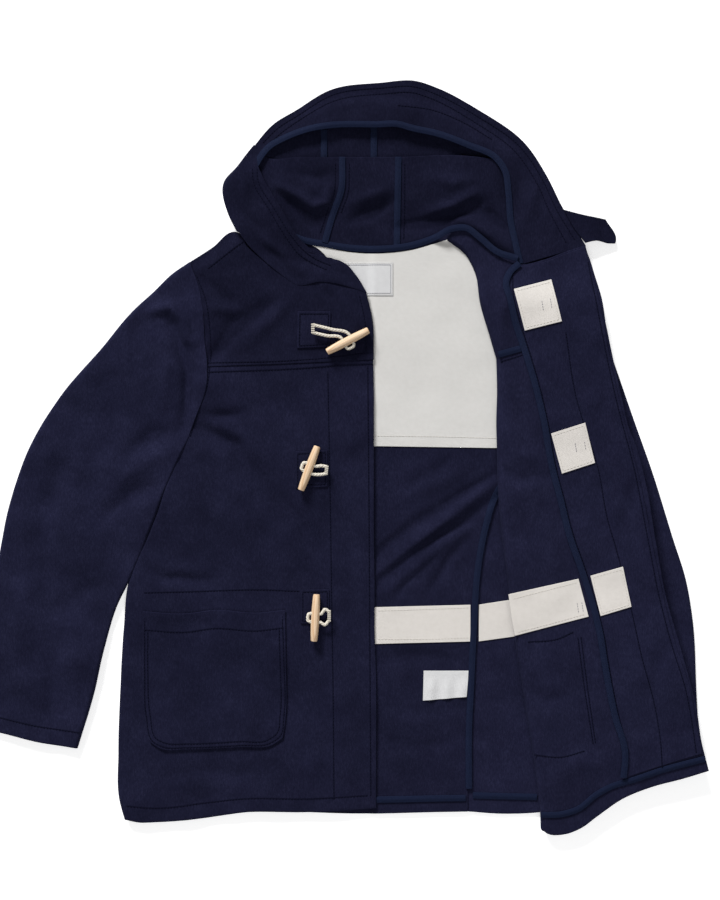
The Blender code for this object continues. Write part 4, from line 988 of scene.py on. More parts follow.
def make_sleeves():
    outer = line([
        (-0.478, -0.354), (-0.468, -0.272), (-0.455, -0.187), (-0.442, -0.118), (-0.430, -0.061),
        (-0.406, 0.008), (-0.368, 0.073), (-0.309, 0.142), (-0.269, 0.190), (-0.243, 0.214),
        (-0.218, 0.238), (-0.196, 0.253),
    ])
    inner = line([
        (-0.342, -0.381), (-0.321, -0.312), (-0.307, -0.250), (-0.291, -0.196), (-0.276, -0.165),
        (-0.248, -0.096), (-0.223, -0.031), (-0.198, 0.023),
    ])
    cuff = line([(-0.478, -0.354), (-0.442, -0.361), (-0.393, -0.373), (-0.342, -0.381)])
    armhole = line([
        (-0.196, 0.253), (-0.184, 0.220), (-0.178, 0.183), (-0.176, 0.147), (-0.173, 0.122),
        (-0.175, 0.086), (-0.186, 0.055), (-0.198, 0.023),
    ])
    sleeve("sleeve_toggle_side", patch(outer, inner, cuff, armhole), rest_lie, SLEEVE_AIR, sleeve_folds)
    outer = line([
        (0.469, -0.385), (0.465, -0.307), (0.460, -0.213), (0.451, -0.161), (0.434, -0.107),
        (0.407, -0.020), (0.385, 0.042), (0.354, 0.131), (0.328, 0.203), (0.308, 0.249),
    ])
    inner = line([
        (0.333, -0.391), (0.317, -0.317), (0.300, -0.239), (0.291, -0.148), (0.292, -0.083),
        (0.297, -0.025), (0.302, 0.023),
    ])
    armhole = line([(0.308, 0.249), (0.289, 0.203), (0.279, 0.157), (0.278, 0.130), (0.288, 0.077),
                    (0.302, 0.023)])
    cuff = [(0.333, -0.391), (0.403, -0.391), (0.469, -0.385)]
    plan = patch(inner, outer, cuff, lambda t: armhole(1 - t))
    sleeve("sleeve_loop_side", plan, hidden_sleeve_lie, HIDDEN_SLEEVE_AIR, hidden_sleeve_folds)


def make_pockets():
    left = line([(-0.247, -0.372), (-0.255, -0.337), (-0.257, -0.280), (-0.257, -0.202)])
    right = line([(-0.074, -0.367), (-0.070, -0.337), (-0.070, -0.268), (-0.071, -0.200)])
    bottom = line([(-0.247, -0.372), (-0.233, -0.381), (-0.200, -0.382), (-0.130, -0.379), (-0.090, -0.377),
                   (-0.074, -0.367)])
    mouth = [(-0.257, -0.203), (-0.200, -0.205), (-0.163, -0.200), (-0.107, -0.203), (-0.071, -0.199)]

    def pocket_lie(x, y):
        return on_front(x, y) + SEAM_RIDGE * near(x, y, mouth, 0.016)

    lay("pocket_toggle_side", patch(left, right, bottom, mouth), pocket_lie, MELTON, NAVY, step=MIDDLE_STEP)
    # The loop side's pocket takes a brighter copy of the cloth: painted light.
    lay("pocket_loop_side", quad((0.281, -0.385), (0.325, -0.363), (0.247, -0.239), (0.309, -0.224)),
        above(open_lie, -SEAM, -MELTON - CURVE_ROOM), MELTON, PAINTED_LIGHT_OPEN_NAVY)


def make_facing():
    left = line([
        (0.369, -0.417), (0.370, -0.386), (0.356, -0.334), (0.343, -0.267), (0.338, -0.235),
        (0.326, -0.186), (0.313, -0.146), (0.299, -0.107), (0.286, -0.056), (0.276, -0.013), (0.264, 0.048),
        (0.252, 0.097), (0.239, 0.140), (0.229, 0.173), (0.221, 0.203), (0.218, 0.224), (0.233, 0.246),
    ])
    right = line([
        (0.469, -0.385), (0.461, -0.346), (0.454, -0.304), (0.437, -0.252), (0.420, -0.187),
        (0.404, -0.113), (0.391, -0.044), (0.378, 0.008), (0.361, 0.075), (0.350, 0.125), (0.337, 0.196),
        (0.328, 0.234), (0.317, 0.271),
    ])
    bottom = line([(0.369, -0.417), (0.420, -0.400), (0.469, -0.385)])
    top = line([(0.233, 0.246), (0.265, 0.252), (0.294, 0.263), (0.317, 0.271)])
    # The loop side's facing takes a brighter copy of the cloth: painted light.
    lay("facing_loop_side", patch(left, right, bottom, top), on_open, FACING, PAINTED_LIGHT_OPEN_NAVY)


# ---------------------------------------------------------------- hood

def make_hood():
    left_seam = line([(-0.019, 0.276), (-0.010, 0.315), (0.000, 0.343), (0.003, 0.389)])
    left_seam_inner = line([(-0.019, 0.276), (-0.010, 0.315), (0.001, 0.343), (0.003, 0.389)])
    right_seam = line([(0.074, 0.272), (0.075, 0.333), (0.076, 0.389)])
    right_seam_inner = line([(0.074, 0.272), (0.075, 0.333), (0.077, 0.389)])
    # The hood's pieces take the darker copy of the cloth: painted shade.
    lay("hood_back_centre",
        patch(left_seam_inner, right_seam, [(-0.019, 0.276), (0.036, 0.269), (0.074, 0.272)],
              [(0.003, 0.389), (0.039, 0.389), (0.076, 0.389)]),
        hood_lie, MELTON, PAINTED_SHADE_NAVY, step=FINE_STEP)
    silhouette = line([(0.320, 0.273), (0.292, 0.316), (0.270, 0.361), (0.264, 0.370)])
    neck = line([(0.074, 0.272), (0.091, 0.274), (0.130, 0.285), (0.146, 0.291), (0.163, 0.292),
                 (0.182, 0.281), (0.204, 0.262), (0.231, 0.248), (0.265, 0.255), (0.294, 0.265),
                 (0.320, 0.273)])
    crown = line([(0.077, 0.389), (0.159, 0.391), (0.198, 0.387), (0.264, 0.370)])
    lay("hood_back_loop_side", patch(right_seam_inner, silhouette, neck, crown), hood_lie, MELTON,
        PAINTED_SHADE_NAVY, step=FINE_STEP)

    fold = line([(-0.135, 0.296), (-0.146, 0.318), (-0.151, 0.357), (-0.135, 0.376), (-0.121, 0.395),
                 (-0.112, 0.406)])
    under_neck = line([(-0.135, 0.296), (-0.101, 0.292), (-0.052, 0.285), (-0.019, 0.276)])
    under_crown = line([(-0.112, 0.406), (-0.096, 0.390), (-0.052, 0.389), (0.003, 0.389)])
    rim = line([(0.035, 0.212), (0.021, 0.235), (0.004, 0.252), (-0.010, 0.254), (-0.029, 0.263),
                (-0.051, 0.281), (-0.078, 0.324), (-0.101, 0.364), (-0.108, 0.385), (-0.104, 0.396)])
    under = patch(fold, left_seam, under_neck, under_crown)
    over = patch(fold, rim, TURN_SEAM, straight(fold(1.0), rim(1.0)))

    def to_fold(s, v):
        return under(1 - np.asarray(s), v)

    turned("hood_side_toggle_side", [to_fold, over], [above(hood_lie, MELTON / 2), hood_turn_middle],
           finish=PAINTED_SHADE_NAVY)

    lay("hood_crown_toggle_side",
        patch([(-0.107, 0.385), (-0.112, 0.404)], [(-0.021, 0.369), (-0.021, 0.424), (-0.023, 0.472)],
              [(-0.107, 0.385), (-0.088, 0.374), (-0.062, 0.370), (-0.021, 0.369)],
              [(-0.112, 0.404), (-0.088, 0.432), (-0.056, 0.452), (-0.023, 0.472)]),
        crown_lie, MELTON, PAINTED_SHADE_NAVY)
    lay("hood_crown_centre",
        patch([(-0.020, 0.369), (-0.021, 0.424), (-0.022, 0.473)],
              [(0.043, 0.369), (0.043, 0.424), (0.043, 0.486)],
              [(-0.020, 0.369), (0.043, 0.369)], [(-0.022, 0.473), (0.006, 0.481), (0.043, 0.486)]),
        crown_lie, MELTON, PAINTED_SHADE_NAVY)
    lay("hood_crown_loop_side",
        patch([(0.044, 0.369), (0.044, 0.424), (0.044, 0.486)],
              [(0.263, 0.369), (0.254, 0.391), (0.240, 0.408)],
              [(0.044, 0.369), (0.130, 0.370), (0.179, 0.372), (0.203, 0.373), (0.227, 0.372),
               (0.263, 0.369)],
              [(0.044, 0.486), (0.099, 0.489), (0.127, 0.480), (0.183, 0.450), (0.240, 0.409)]),
        crown_lie, MELTON, PAINTED_SHADE_NAVY)
    lay("hood_tuck", quad((-0.056, 0.354), (0.174, 0.354), (-0.056, 0.387), (0.174, 0.387)),
        on_crown, TUCK, PAINTED_SHADE_NAVY)

    inner = line([(-0.109, 0.383), (-0.097, 0.398), (-0.084, 0.409), (-0.025, 0.427), (0.036, 0.432),
                  (0.084, 0.431), (0.127, 0.420), (0.168, 0.403), (0.204, 0.388), (0.217, 0.369),
                  (0.222, 0.339), (0.224, 0.305), (0.230, 0.277), (0.237, 0.249)])
    outer = line(RIM[:-1] + [(0.320, 0.273)])
    lay("hood_facing",
        patch(outer, inner, straight(outer(0.0), inner(0.0)), straight(outer(1.0), inner(1.0))),
        facing_lie, FACING, PAINTED_SHADE_NAVY, step=MIDDLE_STEP)
    lay("throat_tab",
        patch([(0.319, 0.277), (0.304, 0.296), (0.291, 0.320)],
              [(0.359, 0.277), (0.360, 0.282), (0.346, 0.308)],
              [(0.319, 0.277), (0.334, 0.280), (0.350, 0.277), (0.359, 0.277)],
              [(0.291, 0.320), (0.319, 0.313), (0.346, 0.308)]),
        tab_lie, TAB, PAINTED_SHADE_NAVY, step=FINEST_STEP)


# ---------------------------------------------------------------- lining, tape, labels and squares

LABEL_CURL = 0.0016
on_lining = above(on_back, TWILL, SEAM)

COTTON_SQUARES = [
    ((0.239, 0.162), (0.287, 0.174), (0.225, 0.216), (0.274, 0.229)),
    ((0.287, -0.023), (0.330, -0.009), (0.273, 0.029), (0.317, 0.043)),
    ((0.337, -0.207), (0.377, -0.195), (0.324, -0.155), (0.366, -0.143)),
]


def make_cotton():
    left = line([(0.021, 0.013), (0.016, 0.131), (0.003, 0.213), (-0.026, 0.268), (-0.048, 0.281)])
    right = line([(0.216, 0.010), (0.218, 0.101), (0.204, 0.160), (0.192, 0.205), (0.187, 0.244),
                  (0.159, 0.268), (0.140, 0.282)])
    bottom = line([(0.021, 0.013), (0.216, 0.010)])
    top = line([(-0.048, 0.281), (-0.018, 0.272), (0.036, 0.264), (0.091, 0.268), (0.140, 0.282)])
    lay("yoke_lining", patch(left, right, bottom, top), on_back, TWILL, CREAM, step=MIDDLE_STEP)
    lay("waist_tape_back", quad((0.016, -0.246), (0.170, -0.242), (0.016, -0.198), (0.170, -0.194)),
        on_back, TWILL, TAPE, step=FINE_STEP)
    lay("waist_tape_side", quad((0.181, -0.242), (0.247, -0.233), (0.181, -0.194), (0.240, -0.185)),
        on_rest, TWILL, TAPE, step=FINE_STEP)
    lay("waist_tape_front", quad((0.226, -0.233), (0.322, -0.208), (0.218, -0.179), (0.309, -0.159)),
        on_open, TWILL, TAPE, step=FINE_STEP)
    for number, corners in enumerate(COTTON_SQUARES, 1):
        lay(f"cotton_square_{number}", quad(*corners), on_facing, TWILL, TAPE, step=FINE_STEP)
    lay("neck_label", quad((0.001, 0.209), (0.069, 0.209), (0.001, 0.252), (0.069, 0.252)), on_lining,
        LABEL, WHITE, step=FINE_STEP)

    def care_lie(x, y):
        return on_back(x, y) + LABEL_CURL * np.sin((x - 0.108) * 150) ** 2 * ramp(y, *LABEL_HANGS)

    lay("care_label", quad((0.108, -0.319), (0.165, -0.314), (0.109, -0.280), (0.168, -0.280)), care_lie,
        LABEL, WHITE, step=0.002)


# ---------------------------------------------------------------- bindings

BINDING_CROWN = 0.0007


def neck_binding_lie(x, y):
    raised = ease((x - 0.117) / 0.022)
    return (on_back(x, y) + TWILL) * (1 - raised) + on_facing(x, y) * raised


def bind(name, points, lie, shift=0.0, width=BINDING_WIDTH):
    """A tape folded over an edge, its middle standing up, along a line."""
    route = line(points)
    length = measure(route)
    plan = strip(route, width, shift)
    times = np.linspace(0, 1, 40)
    middle = plan(0 * times + 0.5, times)

    def crowned(x, y):
        return lie(x, y) + BINDING_CROWN * near(x, y, middle, width / 2)

    steps = (6, max(3, round(length / FINE_STEP)))
    piece = place_piece(name, shell(plan, crowned, BINDING_BODY, steps, (width, length)), BLUE, name)
    rounded(piece, BINDING_ROUND)


def make_bindings():
    bind("binding_side_seam",
         [(0.168, -0.434), (0.168, -0.359), (0.171, -0.293), (0.175, -0.213), (0.179, -0.153),
          (0.190, -0.092), (0.201, -0.056), (0.209, -0.040), (0.218, -0.027)], on_back)
    bind("binding_hem_back", [(0.016, -0.449), (0.104, -0.447), (0.164, -0.446)], on_back)
    bind("binding_hem_under", [(0.173, -0.443), (0.214, -0.444), (0.257, -0.445)], on_rest)
    bind("binding_hem_open",
         [(0.261, -0.466), (0.287, -0.465), (0.309, -0.458), (0.333, -0.439), (0.354, -0.428),
          (0.380, -0.420), (0.417, -0.407), (0.473, -0.392)], on_open, width=0.0080)
    bind("binding_facing",
         [(0.367, -0.417), (0.369, -0.386), (0.355, -0.334), (0.342, -0.267), (0.337, -0.235),
          (0.325, -0.186), (0.312, -0.146), (0.298, -0.107), (0.285, -0.056), (0.274, -0.013),
          (0.263, 0.048), (0.251, 0.097), (0.238, 0.140), (0.227, 0.173), (0.220, 0.203), (0.215, 0.225),
          (0.221, 0.239), (0.233, 0.250)],
         above(on_facing, TWILL))
    bind("binding_yoke_seam", [(0.205, 0.131), (0.237, 0.140)], on_open)
    bind("binding_neck",
         [(-0.065, 0.288), (-0.049, 0.282), (-0.018, 0.276), (0.017, 0.271), (0.057, 0.270), (0.091, 0.274),
          (0.125, 0.285), (0.146, 0.295), (0.163, 0.296), (0.182, 0.283), (0.204, 0.265), (0.231, 0.256)],
          neck_binding_lie)
    bind("binding_hood_facing",
         [(-0.113, 0.377), (-0.105, 0.391), (-0.094, 0.404), (-0.073, 0.416), (-0.043, 0.427),
          (-0.013, 0.432), (0.047, 0.433), (0.077, 0.433), (0.091, 0.429), (0.127, 0.421), (0.168, 0.406),
          (0.204, 0.389), (0.216, 0.372), (0.221, 0.343), (0.224, 0.305), (0.230, 0.277), (0.236, 0.250)],
         above(facing_lie, FACING, SEAM), 0.002)
    bind("binding_crown_seam_1", [(-0.021, 0.387), (-0.021, 0.426)], on_crown)
    bind("binding_crown_seam_2", [(0.044, 0.387), (0.044, 0.429)], on_crown)
    bind("binding_hood_seam_1", [(-0.020, 0.278), (-0.009, 0.316), (0.001, 0.343), (0.003, 0.389)], on_hood)
    bind("binding_hood_seam_2", [(0.074, 0.273), (0.075, 0.333), (0.076, 0.389)], on_hood)


# ---------------------------------------------------------------- toggles and loops

SQUARE = 0.0016
CORD_OUT = 0.0015
CORD_BACK = 0.0042
CORD_STEP = 0.0007
TOGGLE_HEIGHT = FRONT_LIFT + MELTON + 3 * SEAM + SQUARE + TOGGLE_RADIUS - 0.0001

# Middle, turn in degrees, the two sewn ends of the cord, how far its two legs spread
TOGGLES = [
    ((0.010, 0.149), 27.6, (-0.035, 0.170), (-0.035, 0.160), 0.0008),
    ((-0.040, -0.016), 69.4, (-0.017, -0.014), (-0.018, -0.023), 0.0010),
    ((-0.032, -0.210), 86.8, (-0.014, -0.202), (-0.014, -0.213), 0.0045),
]
TOGGLE_SQUARES = [
    ((-0.056, 0.140), (-0.013, 0.142), (-0.055, 0.188), (-0.012, 0.188)),
    ((-0.058, -0.042), (-0.016, -0.040), (-0.058, 0.006), (-0.016, 0.008)),
    ((-0.051, -0.218), (-0.014, -0.217), (-0.051, -0.174), (-0.014, -0.173)),
]


def make_toggle(name, centre, turn):
    """A turned wooden peg, thickest in its middle, with two holes through it."""
    profile = [
        (0.0, TOGGLE_LENGTH / 2),
        (TOGGLE_END_RADIUS - 0.0012, TOGGLE_LENGTH / 2),
        (TOGGLE_END_RADIUS - 0.0005, TOGGLE_LENGTH / 2 - 0.0002),
        (TOGGLE_END_RADIUS, TOGGLE_LENGTH / 2 - 0.0014),
        (TOGGLE_END_RADIUS + 0.0006, TOGGLE_LENGTH / 3),
        (TOGGLE_RADIUS, TOGGLE_LENGTH / 8),
        (TOGGLE_RADIUS, 0.0),
    ]
    bm = bmesh.new()
    verts = [bm.verts.new((radius, 0, along)) for radius, along in profile]
    verts += [bm.verts.new((radius, 0, -along)) for radius, along in reversed(profile[:-1])]
    edges = [bm.edges.new(pair) for pair in zip(verts, verts[1:])]
    bmesh.ops.spin(bm, geom=verts + edges, cent=(0, 0, 0), axis=(0, 0, 1), angle=2 * math.pi, steps=40,
                   use_merge=True)
    bmesh.ops.remove_doubles(bm, verts=bm.verts[:], dist=FINE_WELD)
    bmesh.ops.recalc_face_normals(bm, faces=bm.faces[:])
    blank = solid(name + "_blank", bm)
    drills = []
    for side in (-1, 1):
        across = Matrix.Rotation(math.pi / 2, 4, "X")
        across = Matrix.Translation((0, 0, side * TOGGLE_HOLE_OFFSET)) @ across
        bm = bmesh.new()
        bmesh.ops.create_cone(bm, cap_ends=True, segments=24, radius1=TOGGLE_HOLE, radius2=TOGGLE_HOLE,
                              depth=4 * TOGGLE_RADIUS, matrix=across)
        drills.append(solid(name + "_drill", bm))
        cut = blank.modifiers.new("hole", "BOOLEAN")
        cut.operation = "DIFFERENCE"
        cut.object = drills[-1]
    bpy.context.view_layer.update()
    graph = bpy.context.evaluated_depsgraph_get()
    finished = bpy.data.meshes.new_from_object(blank.evaluated_get(graph))
    for used in [blank, *drills]:
        bpy.data.objects.remove(used)
    bm = bmesh.new()
    bm.from_mesh(finished)
    weave = bm.verts.layers.float_vector.new("weave")
    for vert in bm.verts:
        vert[weave] = vert.co
    laid = Matrix.Rotation(math.radians(turn), 4, "Z") @ Matrix.Rotation(math.pi / 2, 4, "Y")
    bm.transform(Matrix.Translation((*centre, TOGGLE_HEIGHT)) @ laid)
    piece = place_piece(name, bm, WOOD, name)
    rounded(piece, TOGGLE_ROUND)


def twisted_cord(name, places):
    """Three strands laid round one line, which the cord follows."""
    route = line(places)
    total = measure(route)
    count = max(60, int(total / CORD_STEP))
    times = np.linspace(0, 1, count)
    centre = route(times)
    ahead = np.gradient(centre, axis=0)
    ahead /= np.linalg.norm(ahead, axis=1, keepdims=True)
    up = np.array((0.0, 0.0, 1.0))
    aside = np.cross(ahead, up)
    aside /= np.linalg.norm(aside, axis=1, keepdims=True)
    over = np.cross(aside, ahead)
    curve = bpy.data.curves.new(name, "CURVE")
    curve.dimensions = "3D"
    curve.bevel_depth = STRAND_RADIUS
    curve.bevel_resolution = 2
    curve.use_fill_caps = True
    reach = CORD_RADIUS - STRAND_RADIUS
    for strand in range(3):
        turn = 2 * math.pi * (strand / 3 + times * total / STRAND_TWIST)
        points = centre + reach * (np.cos(turn)[:, None] * aside + np.sin(turn)[:, None] * over)
        spline = curve.splines.new("POLY")
        spline.points.add(count - 1)
        spline.points.foreach_set("co", np.column_stack((points, np.ones(count))).ravel())
    holder = linked(name + "_line", curve)
    bpy.context.view_layer.update()
    mesh = bpy.data.meshes.new_from_object(holder.evaluated_get(bpy.context.evaluated_depsgraph_get()))
    bpy.data.objects.remove(holder)
    bm = bmesh.new()
    bm.from_mesh(mesh)
    piece = place_piece(name, bm, CORD, name)


def toggle_cord(name, centre, turn, first, second, spread):
    """From one sewn end through the toggle, round behind it and back through it to the other."""
    angle = math.radians(turn)
    axis = np.array((math.cos(angle), math.sin(angle)))
    centre = np.array(centre)
    side = np.array((-axis[1], axis[0]))
    towards = np.array(first) + np.array(second) - 2 * centre
    side = side * math.copysign(1.0, float(side @ towards))
    a = math.copysign(TOGGLE_HOLE_OFFSET, float(axis @ (np.array(first) - np.array(second))))
    out = TOGGLE_RADIUS + CORD_OUT
    back = TOGGLE_RADIUS + CORD_BACK

    def at(along, across):
        return (*(centre + along * axis + across * side), TOGGLE_HEIGHT)

    def halfway(end, hole):
        apart = spread * math.copysign(1.0, hole) * axis
        return (*((np.array(end) + centre + hole * axis + out * side) / 2 + apart), TOGGLE_HEIGHT)

    b = -a
    twisted_cord(name, [
        (*first, TOGGLE_HEIGHT), halfway(first, a), at(a, out), at(a, 0.0), at(a, -TOGGLE_RADIUS),
        at(a * 0.75, -back * 0.93), at(0.0, -back), at(b * 0.75, -back * 0.93),
        at(b, -TOGGLE_RADIUS), at(b, 0.0), at(b, out), halfway(second, b), (*second, TOGGLE_HEIGHT),
    ])


def make_toggles():
    for number, (place, corners) in enumerate(zip(TOGGLES, TOGGLE_SQUARES), 1):
        centre, turn, *ends_and_spread = place
        lay(f"toggle_square_{number}", quad(*corners), on_front, SQUARE, NAVY, step=FINE_STEP)
        make_toggle(f"toggle_{number}", centre, turn)
        toggle_cord(f"toggle_cord_{number}", centre, turn, *ends_and_spread)


# Middle of the square, and the place near the front edge that the loop reaches
LOOPS = [
    ((0.255, 0.195), (0.325, 0.211)),
    ((0.302, 0.009), (0.367, 0.026)),
    ((0.350, -0.176), (0.408, -0.160)),
]
LOOP_SQUARE = 0.046
LOOP_GAP = 0.0130
LOOP_TURNS = 6


def make_loops():
    for number, places in enumerate(LOOPS, 1):
        centre, reach = (np.array(place) for place in places)
        ahead = (reach - centre) / np.hypot(*(reach - centre))
        aside = np.array((-ahead[1], ahead[0]))
        half = LOOP_SQUARE / 2
        corners = [centre + half * (i * ahead + j * aside) for i, j in ((-1, -1), (1, -1), (-1, 1), (1, 1))]
        lay(f"loop_square_{number}", quad(*corners), above(open_lie, -SEAM, -SQUARE), SQUARE, NAVY)
        legs = [centre + s * (reach - LOOP_GAP / 2 * ahead - centre) for s in (0.0, 0.3, 0.65, 1.0)]
        places = [leg + LOOP_GAP / 2 * aside for leg in legs]
        for step in range(1, LOOP_TURNS):
            turn = math.pi * step / LOOP_TURNS
            places.append(legs[-1] + LOOP_GAP / 2 * (math.cos(turn) * aside + math.sin(turn) * ahead))
        places += [leg - LOOP_GAP / 2 * aside for leg in reversed(legs)]
        twisted_cord(f"loop_cord_{number}",
                     [(x, y, float(open_lie(x, y)) - 3 * SEAM - SQUARE - CORD_RADIUS) for x, y in places])


# ---------------------------------------------------------------- stitching

sleeve_air = above(rest_lie, SLEEVE_AIR, 2 * MELTON)


def sleeve_top(x, y):
    return sleeve_air(x, y) + np.maximum(sleeve_folds(x, y), -SLEEVE_AIR)


def toggle_cord_top(x, y):
    return TOGGLE_HEIGHT + CORD_RADIUS * 0.75 + 0 * x


# How the stitches differ from the usual ones in size, step and length
TACK = {"size": 0.0004, "step": 0.0030, "length": 0.0026}
WHIPPING = {"size": 0.0006, "step": 0.0024, "length": 0.0026}
LABEL_SEAM = {"size": 0.00025, "step": 0.0030, "length": 0.0022}
LABEL_BORDER = {"size": 0.0003, "step": 0.0030, "length": 0.0034}
TAPE_THREAD = 0.00032
LINING_THREAD = 0.00035
COTTON_THREAD = 0.0003
TOGGLE_SQUARE_SEAM = 0.86
COTTON_SQUARE_SEAM = 0.88


def make_stitches():
    front = above(on_front, -SEAM)
    back_cotton = above(on_back, TWILL)
    open_cotton = above(on_open, TWILL)
    facing_cotton = above(on_facing, TWILL)
    label_top = above(on_lining, LABEL)
    stitches("stitches_armhole", [
        [(-0.187, 0.235), (-0.175, 0.203), (-0.170, 0.169), (-0.169, 0.122), (-0.173, 0.091),
         (-0.185, 0.057), (-0.195, 0.025)],
    ], front, NAVY_THREAD)
    stitches("stitches_yoke", [
        [(-0.174, 0.121), (-0.052, 0.125), (-0.014, 0.128), (0.042, 0.135)],
        [(-0.172, 0.109), (-0.052, 0.114), (0.001, 0.118), (0.043, 0.120)],
        [(0.025, 0.209), (0.032, 0.177), (0.034, 0.131)],
        [(-0.172, 0.244), (-0.135, 0.272), (-0.122, 0.281)],
    ], above(yoke_lie, MELTON), NAVY_THREAD)
    stitches("stitches_front", [
        [(-0.016, 0.109), (-0.014, 0.008), (-0.011, -0.187), (-0.009, -0.317), (-0.008, -0.447)],
        [(0.036, 0.117), (0.037, 0.008), (0.038, -0.135), (0.039, -0.291), (0.040, -0.443)],
        [(-0.255, -0.178), (-0.182, -0.176), (-0.107, -0.174), (-0.053, -0.176)],
        [(-0.278, -0.455), (-0.240, -0.458), (-0.179, -0.452), (-0.121, -0.446), (-0.047, -0.446),
         (0.036, -0.442)],
    ], front, NAVY_THREAD)
    stitches("stitches_pocket", [
        [(-0.250, -0.228), (-0.250, -0.280), (-0.247, -0.337), (-0.239, -0.367), (-0.226, -0.373),
         (-0.200, -0.374), (-0.130, -0.371), (-0.094, -0.369), (-0.082, -0.360), (-0.078, -0.337),
         (-0.078, -0.268), (-0.079, -0.225)],
        [(-0.254, -0.209), (-0.254, -0.280), (-0.252, -0.338), (-0.243, -0.371), (-0.229, -0.378),
         (-0.200, -0.379), (-0.130, -0.376), (-0.091, -0.373), (-0.078, -0.364), (-0.073, -0.337),
         (-0.073, -0.268), (-0.075, -0.207)],
        [(-0.255, -0.226), (-0.200, -0.229), (-0.163, -0.224), (-0.107, -0.227), (-0.073, -0.223)],
    ], above(on_front, MELTON), NAVY_THREAD)
    stitches("stitches_cuff", [[(-0.471, -0.334), (-0.442, -0.341), (-0.393, -0.352), (-0.339, -0.360)]],
             sleeve_top, NAVY_THREAD)
    for number, corners in enumerate(TOGGLE_SQUARES, 1):
        stitches(f"stitches_toggle_square_{number}", inset(corners, TOGGLE_SQUARE_SEAM),
                 above(on_front, SQUARE), NAVY_THREAD)
    stitches("stitches_facing", [
        [(0.292, 0.160), (0.305, 0.078), (0.335, -0.021), (0.346, -0.082), (0.356, -0.116), (0.378, -0.204),
         (0.391, -0.263), (0.407, -0.321), (0.415, -0.373), (0.417, -0.403)],
        [(0.322, 0.252), (0.330, 0.208), (0.344, 0.135), (0.355, 0.083), (0.385, -0.036), (0.398, -0.107),
         (0.413, -0.182), (0.430, -0.247), (0.447, -0.302), (0.455, -0.343), (0.461, -0.384)],
        [(0.224, 0.244), (0.225, 0.203), (0.233, 0.174), (0.243, 0.142), (0.256, 0.099), (0.268, 0.049),
         (0.279, -0.012), (0.290, -0.055), (0.303, -0.105), (0.317, -0.144), (0.330, -0.185),
         (0.342, -0.234), (0.347, -0.265), (0.360, -0.333), (0.374, -0.385)],
    ], above(on_open, FACING), NAVY_THREAD)
    stitches("stitches_open_front", [
        [(0.243, -0.241), (0.282, -0.237), (0.302, -0.228)],
        [(0.308, -0.235), (0.317, -0.304), (0.328, -0.373)],
        [(0.312, -0.234), (0.321, -0.304), (0.331, -0.372)],
        [(0.251, -0.387), (0.287, -0.390), (0.317, -0.382)],
        [(0.208, 0.122), (0.237, 0.131), (0.260, 0.139)],
    ], above(open_lie, MELTON), NAVY_THREAD)
    stitches("stitches_hood_edge", [
        [(-0.101, 0.408), (-0.083, 0.426), (-0.052, 0.446), (-0.012, 0.470), (0.055, 0.480), (0.099, 0.481),
         (0.125, 0.472), (0.179, 0.443), (0.234, 0.404), (0.264, 0.360), (0.282, 0.320), (0.305, 0.281)],
        [(-0.096, 0.403), (-0.078, 0.420), (-0.048, 0.441), (-0.009, 0.462), (0.055, 0.472), (0.097, 0.473),
         (0.121, 0.465), (0.174, 0.436), (0.227, 0.398), (0.257, 0.354), (0.274, 0.315), (0.294, 0.277)],
        [(0.075, 0.456), (0.121, 0.450), (0.159, 0.435), (0.198, 0.412)],
    ], above(facing_lie, FACING), NAVY_THREAD)
    stitches("stitches_hood_rim", [
        [(-0.108, 0.374), (-0.107, 0.360), (-0.086, 0.322), (-0.061, 0.283), (-0.049, 0.269),
         (-0.031, 0.256), (-0.012, 0.248)],
        [(-0.114, 0.374), (-0.113, 0.359), (-0.092, 0.320), (-0.068, 0.281), (-0.056, 0.265),
         (-0.036, 0.251), (-0.017, 0.242)],
    ], above(hood_turn_middle, MELTON / 2), NAVY_THREAD)
    stitches("stitches_hood_seams", [
        [(0.084, 0.381), (0.084, 0.333), (0.083, 0.283)],
        [(-0.006, 0.381), (-0.008, 0.343), (-0.017, 0.317), (-0.026, 0.291)],
        [(0.012, 0.381), (0.010, 0.342), (0.001, 0.317)],
    ], above(hood_lie, MELTON), NAVY_THREAD)
    stitches("stitches_tape", [
        [(0.049, -0.202), (0.109, -0.200), (0.168, -0.198)],
        [(0.049, -0.239), (0.109, -0.239), (0.168, -0.237)],
    ], back_cotton, CREAM_THREAD, TAPE_THREAD)
    stitches("stitches_open_tape", [
        [(0.224, -0.185), (0.267, -0.174), (0.307, -0.164)],
        [(0.230, -0.228), (0.273, -0.217), (0.317, -0.205)],
    ], open_cotton, CREAM_THREAD, TAPE_THREAD)
    stitches("stitches_lining", [
        [(0.044, 0.026), (0.130, 0.025), (0.204, 0.023)],
    ], back_cotton, CREAM_THREAD, LINING_THREAD)
    stitches("bar_tacks", [
        [(0.261, 0.201), (0.263, 0.188)], [(0.272, 0.204), (0.274, 0.191)],
        [(0.304, 0.017), (0.306, 0.005)], [(0.316, 0.019), (0.318, 0.008)],
    ], facing_cotton, GREY_THREAD, **TACK)
    stitches("bar_tacks_tape", [
        [(0.307, -0.190), (0.309, -0.203)], [(0.313, -0.189), (0.315, -0.202)],
    ], open_cotton, GREY_THREAD, **TACK)
    for number, corners in enumerate(COTTON_SQUARES, 1):
        stitches(f"stitches_cotton_square_{number}", inset(corners, COTTON_SQUARE_SEAM),
                 facing_cotton, CREAM_THREAD, COTTON_THREAD)
    for number, (_, _, first, second, _) in enumerate(TOGGLES, 1):
        first, second = np.array(first), np.array(second)
        reach = 0.6 * (second - first)
        aside = 0.0011 * np.array((-reach[1], reach[0])) / np.hypot(*reach)
        start, end = first - 0.3 * reach, second + 0.3 * reach
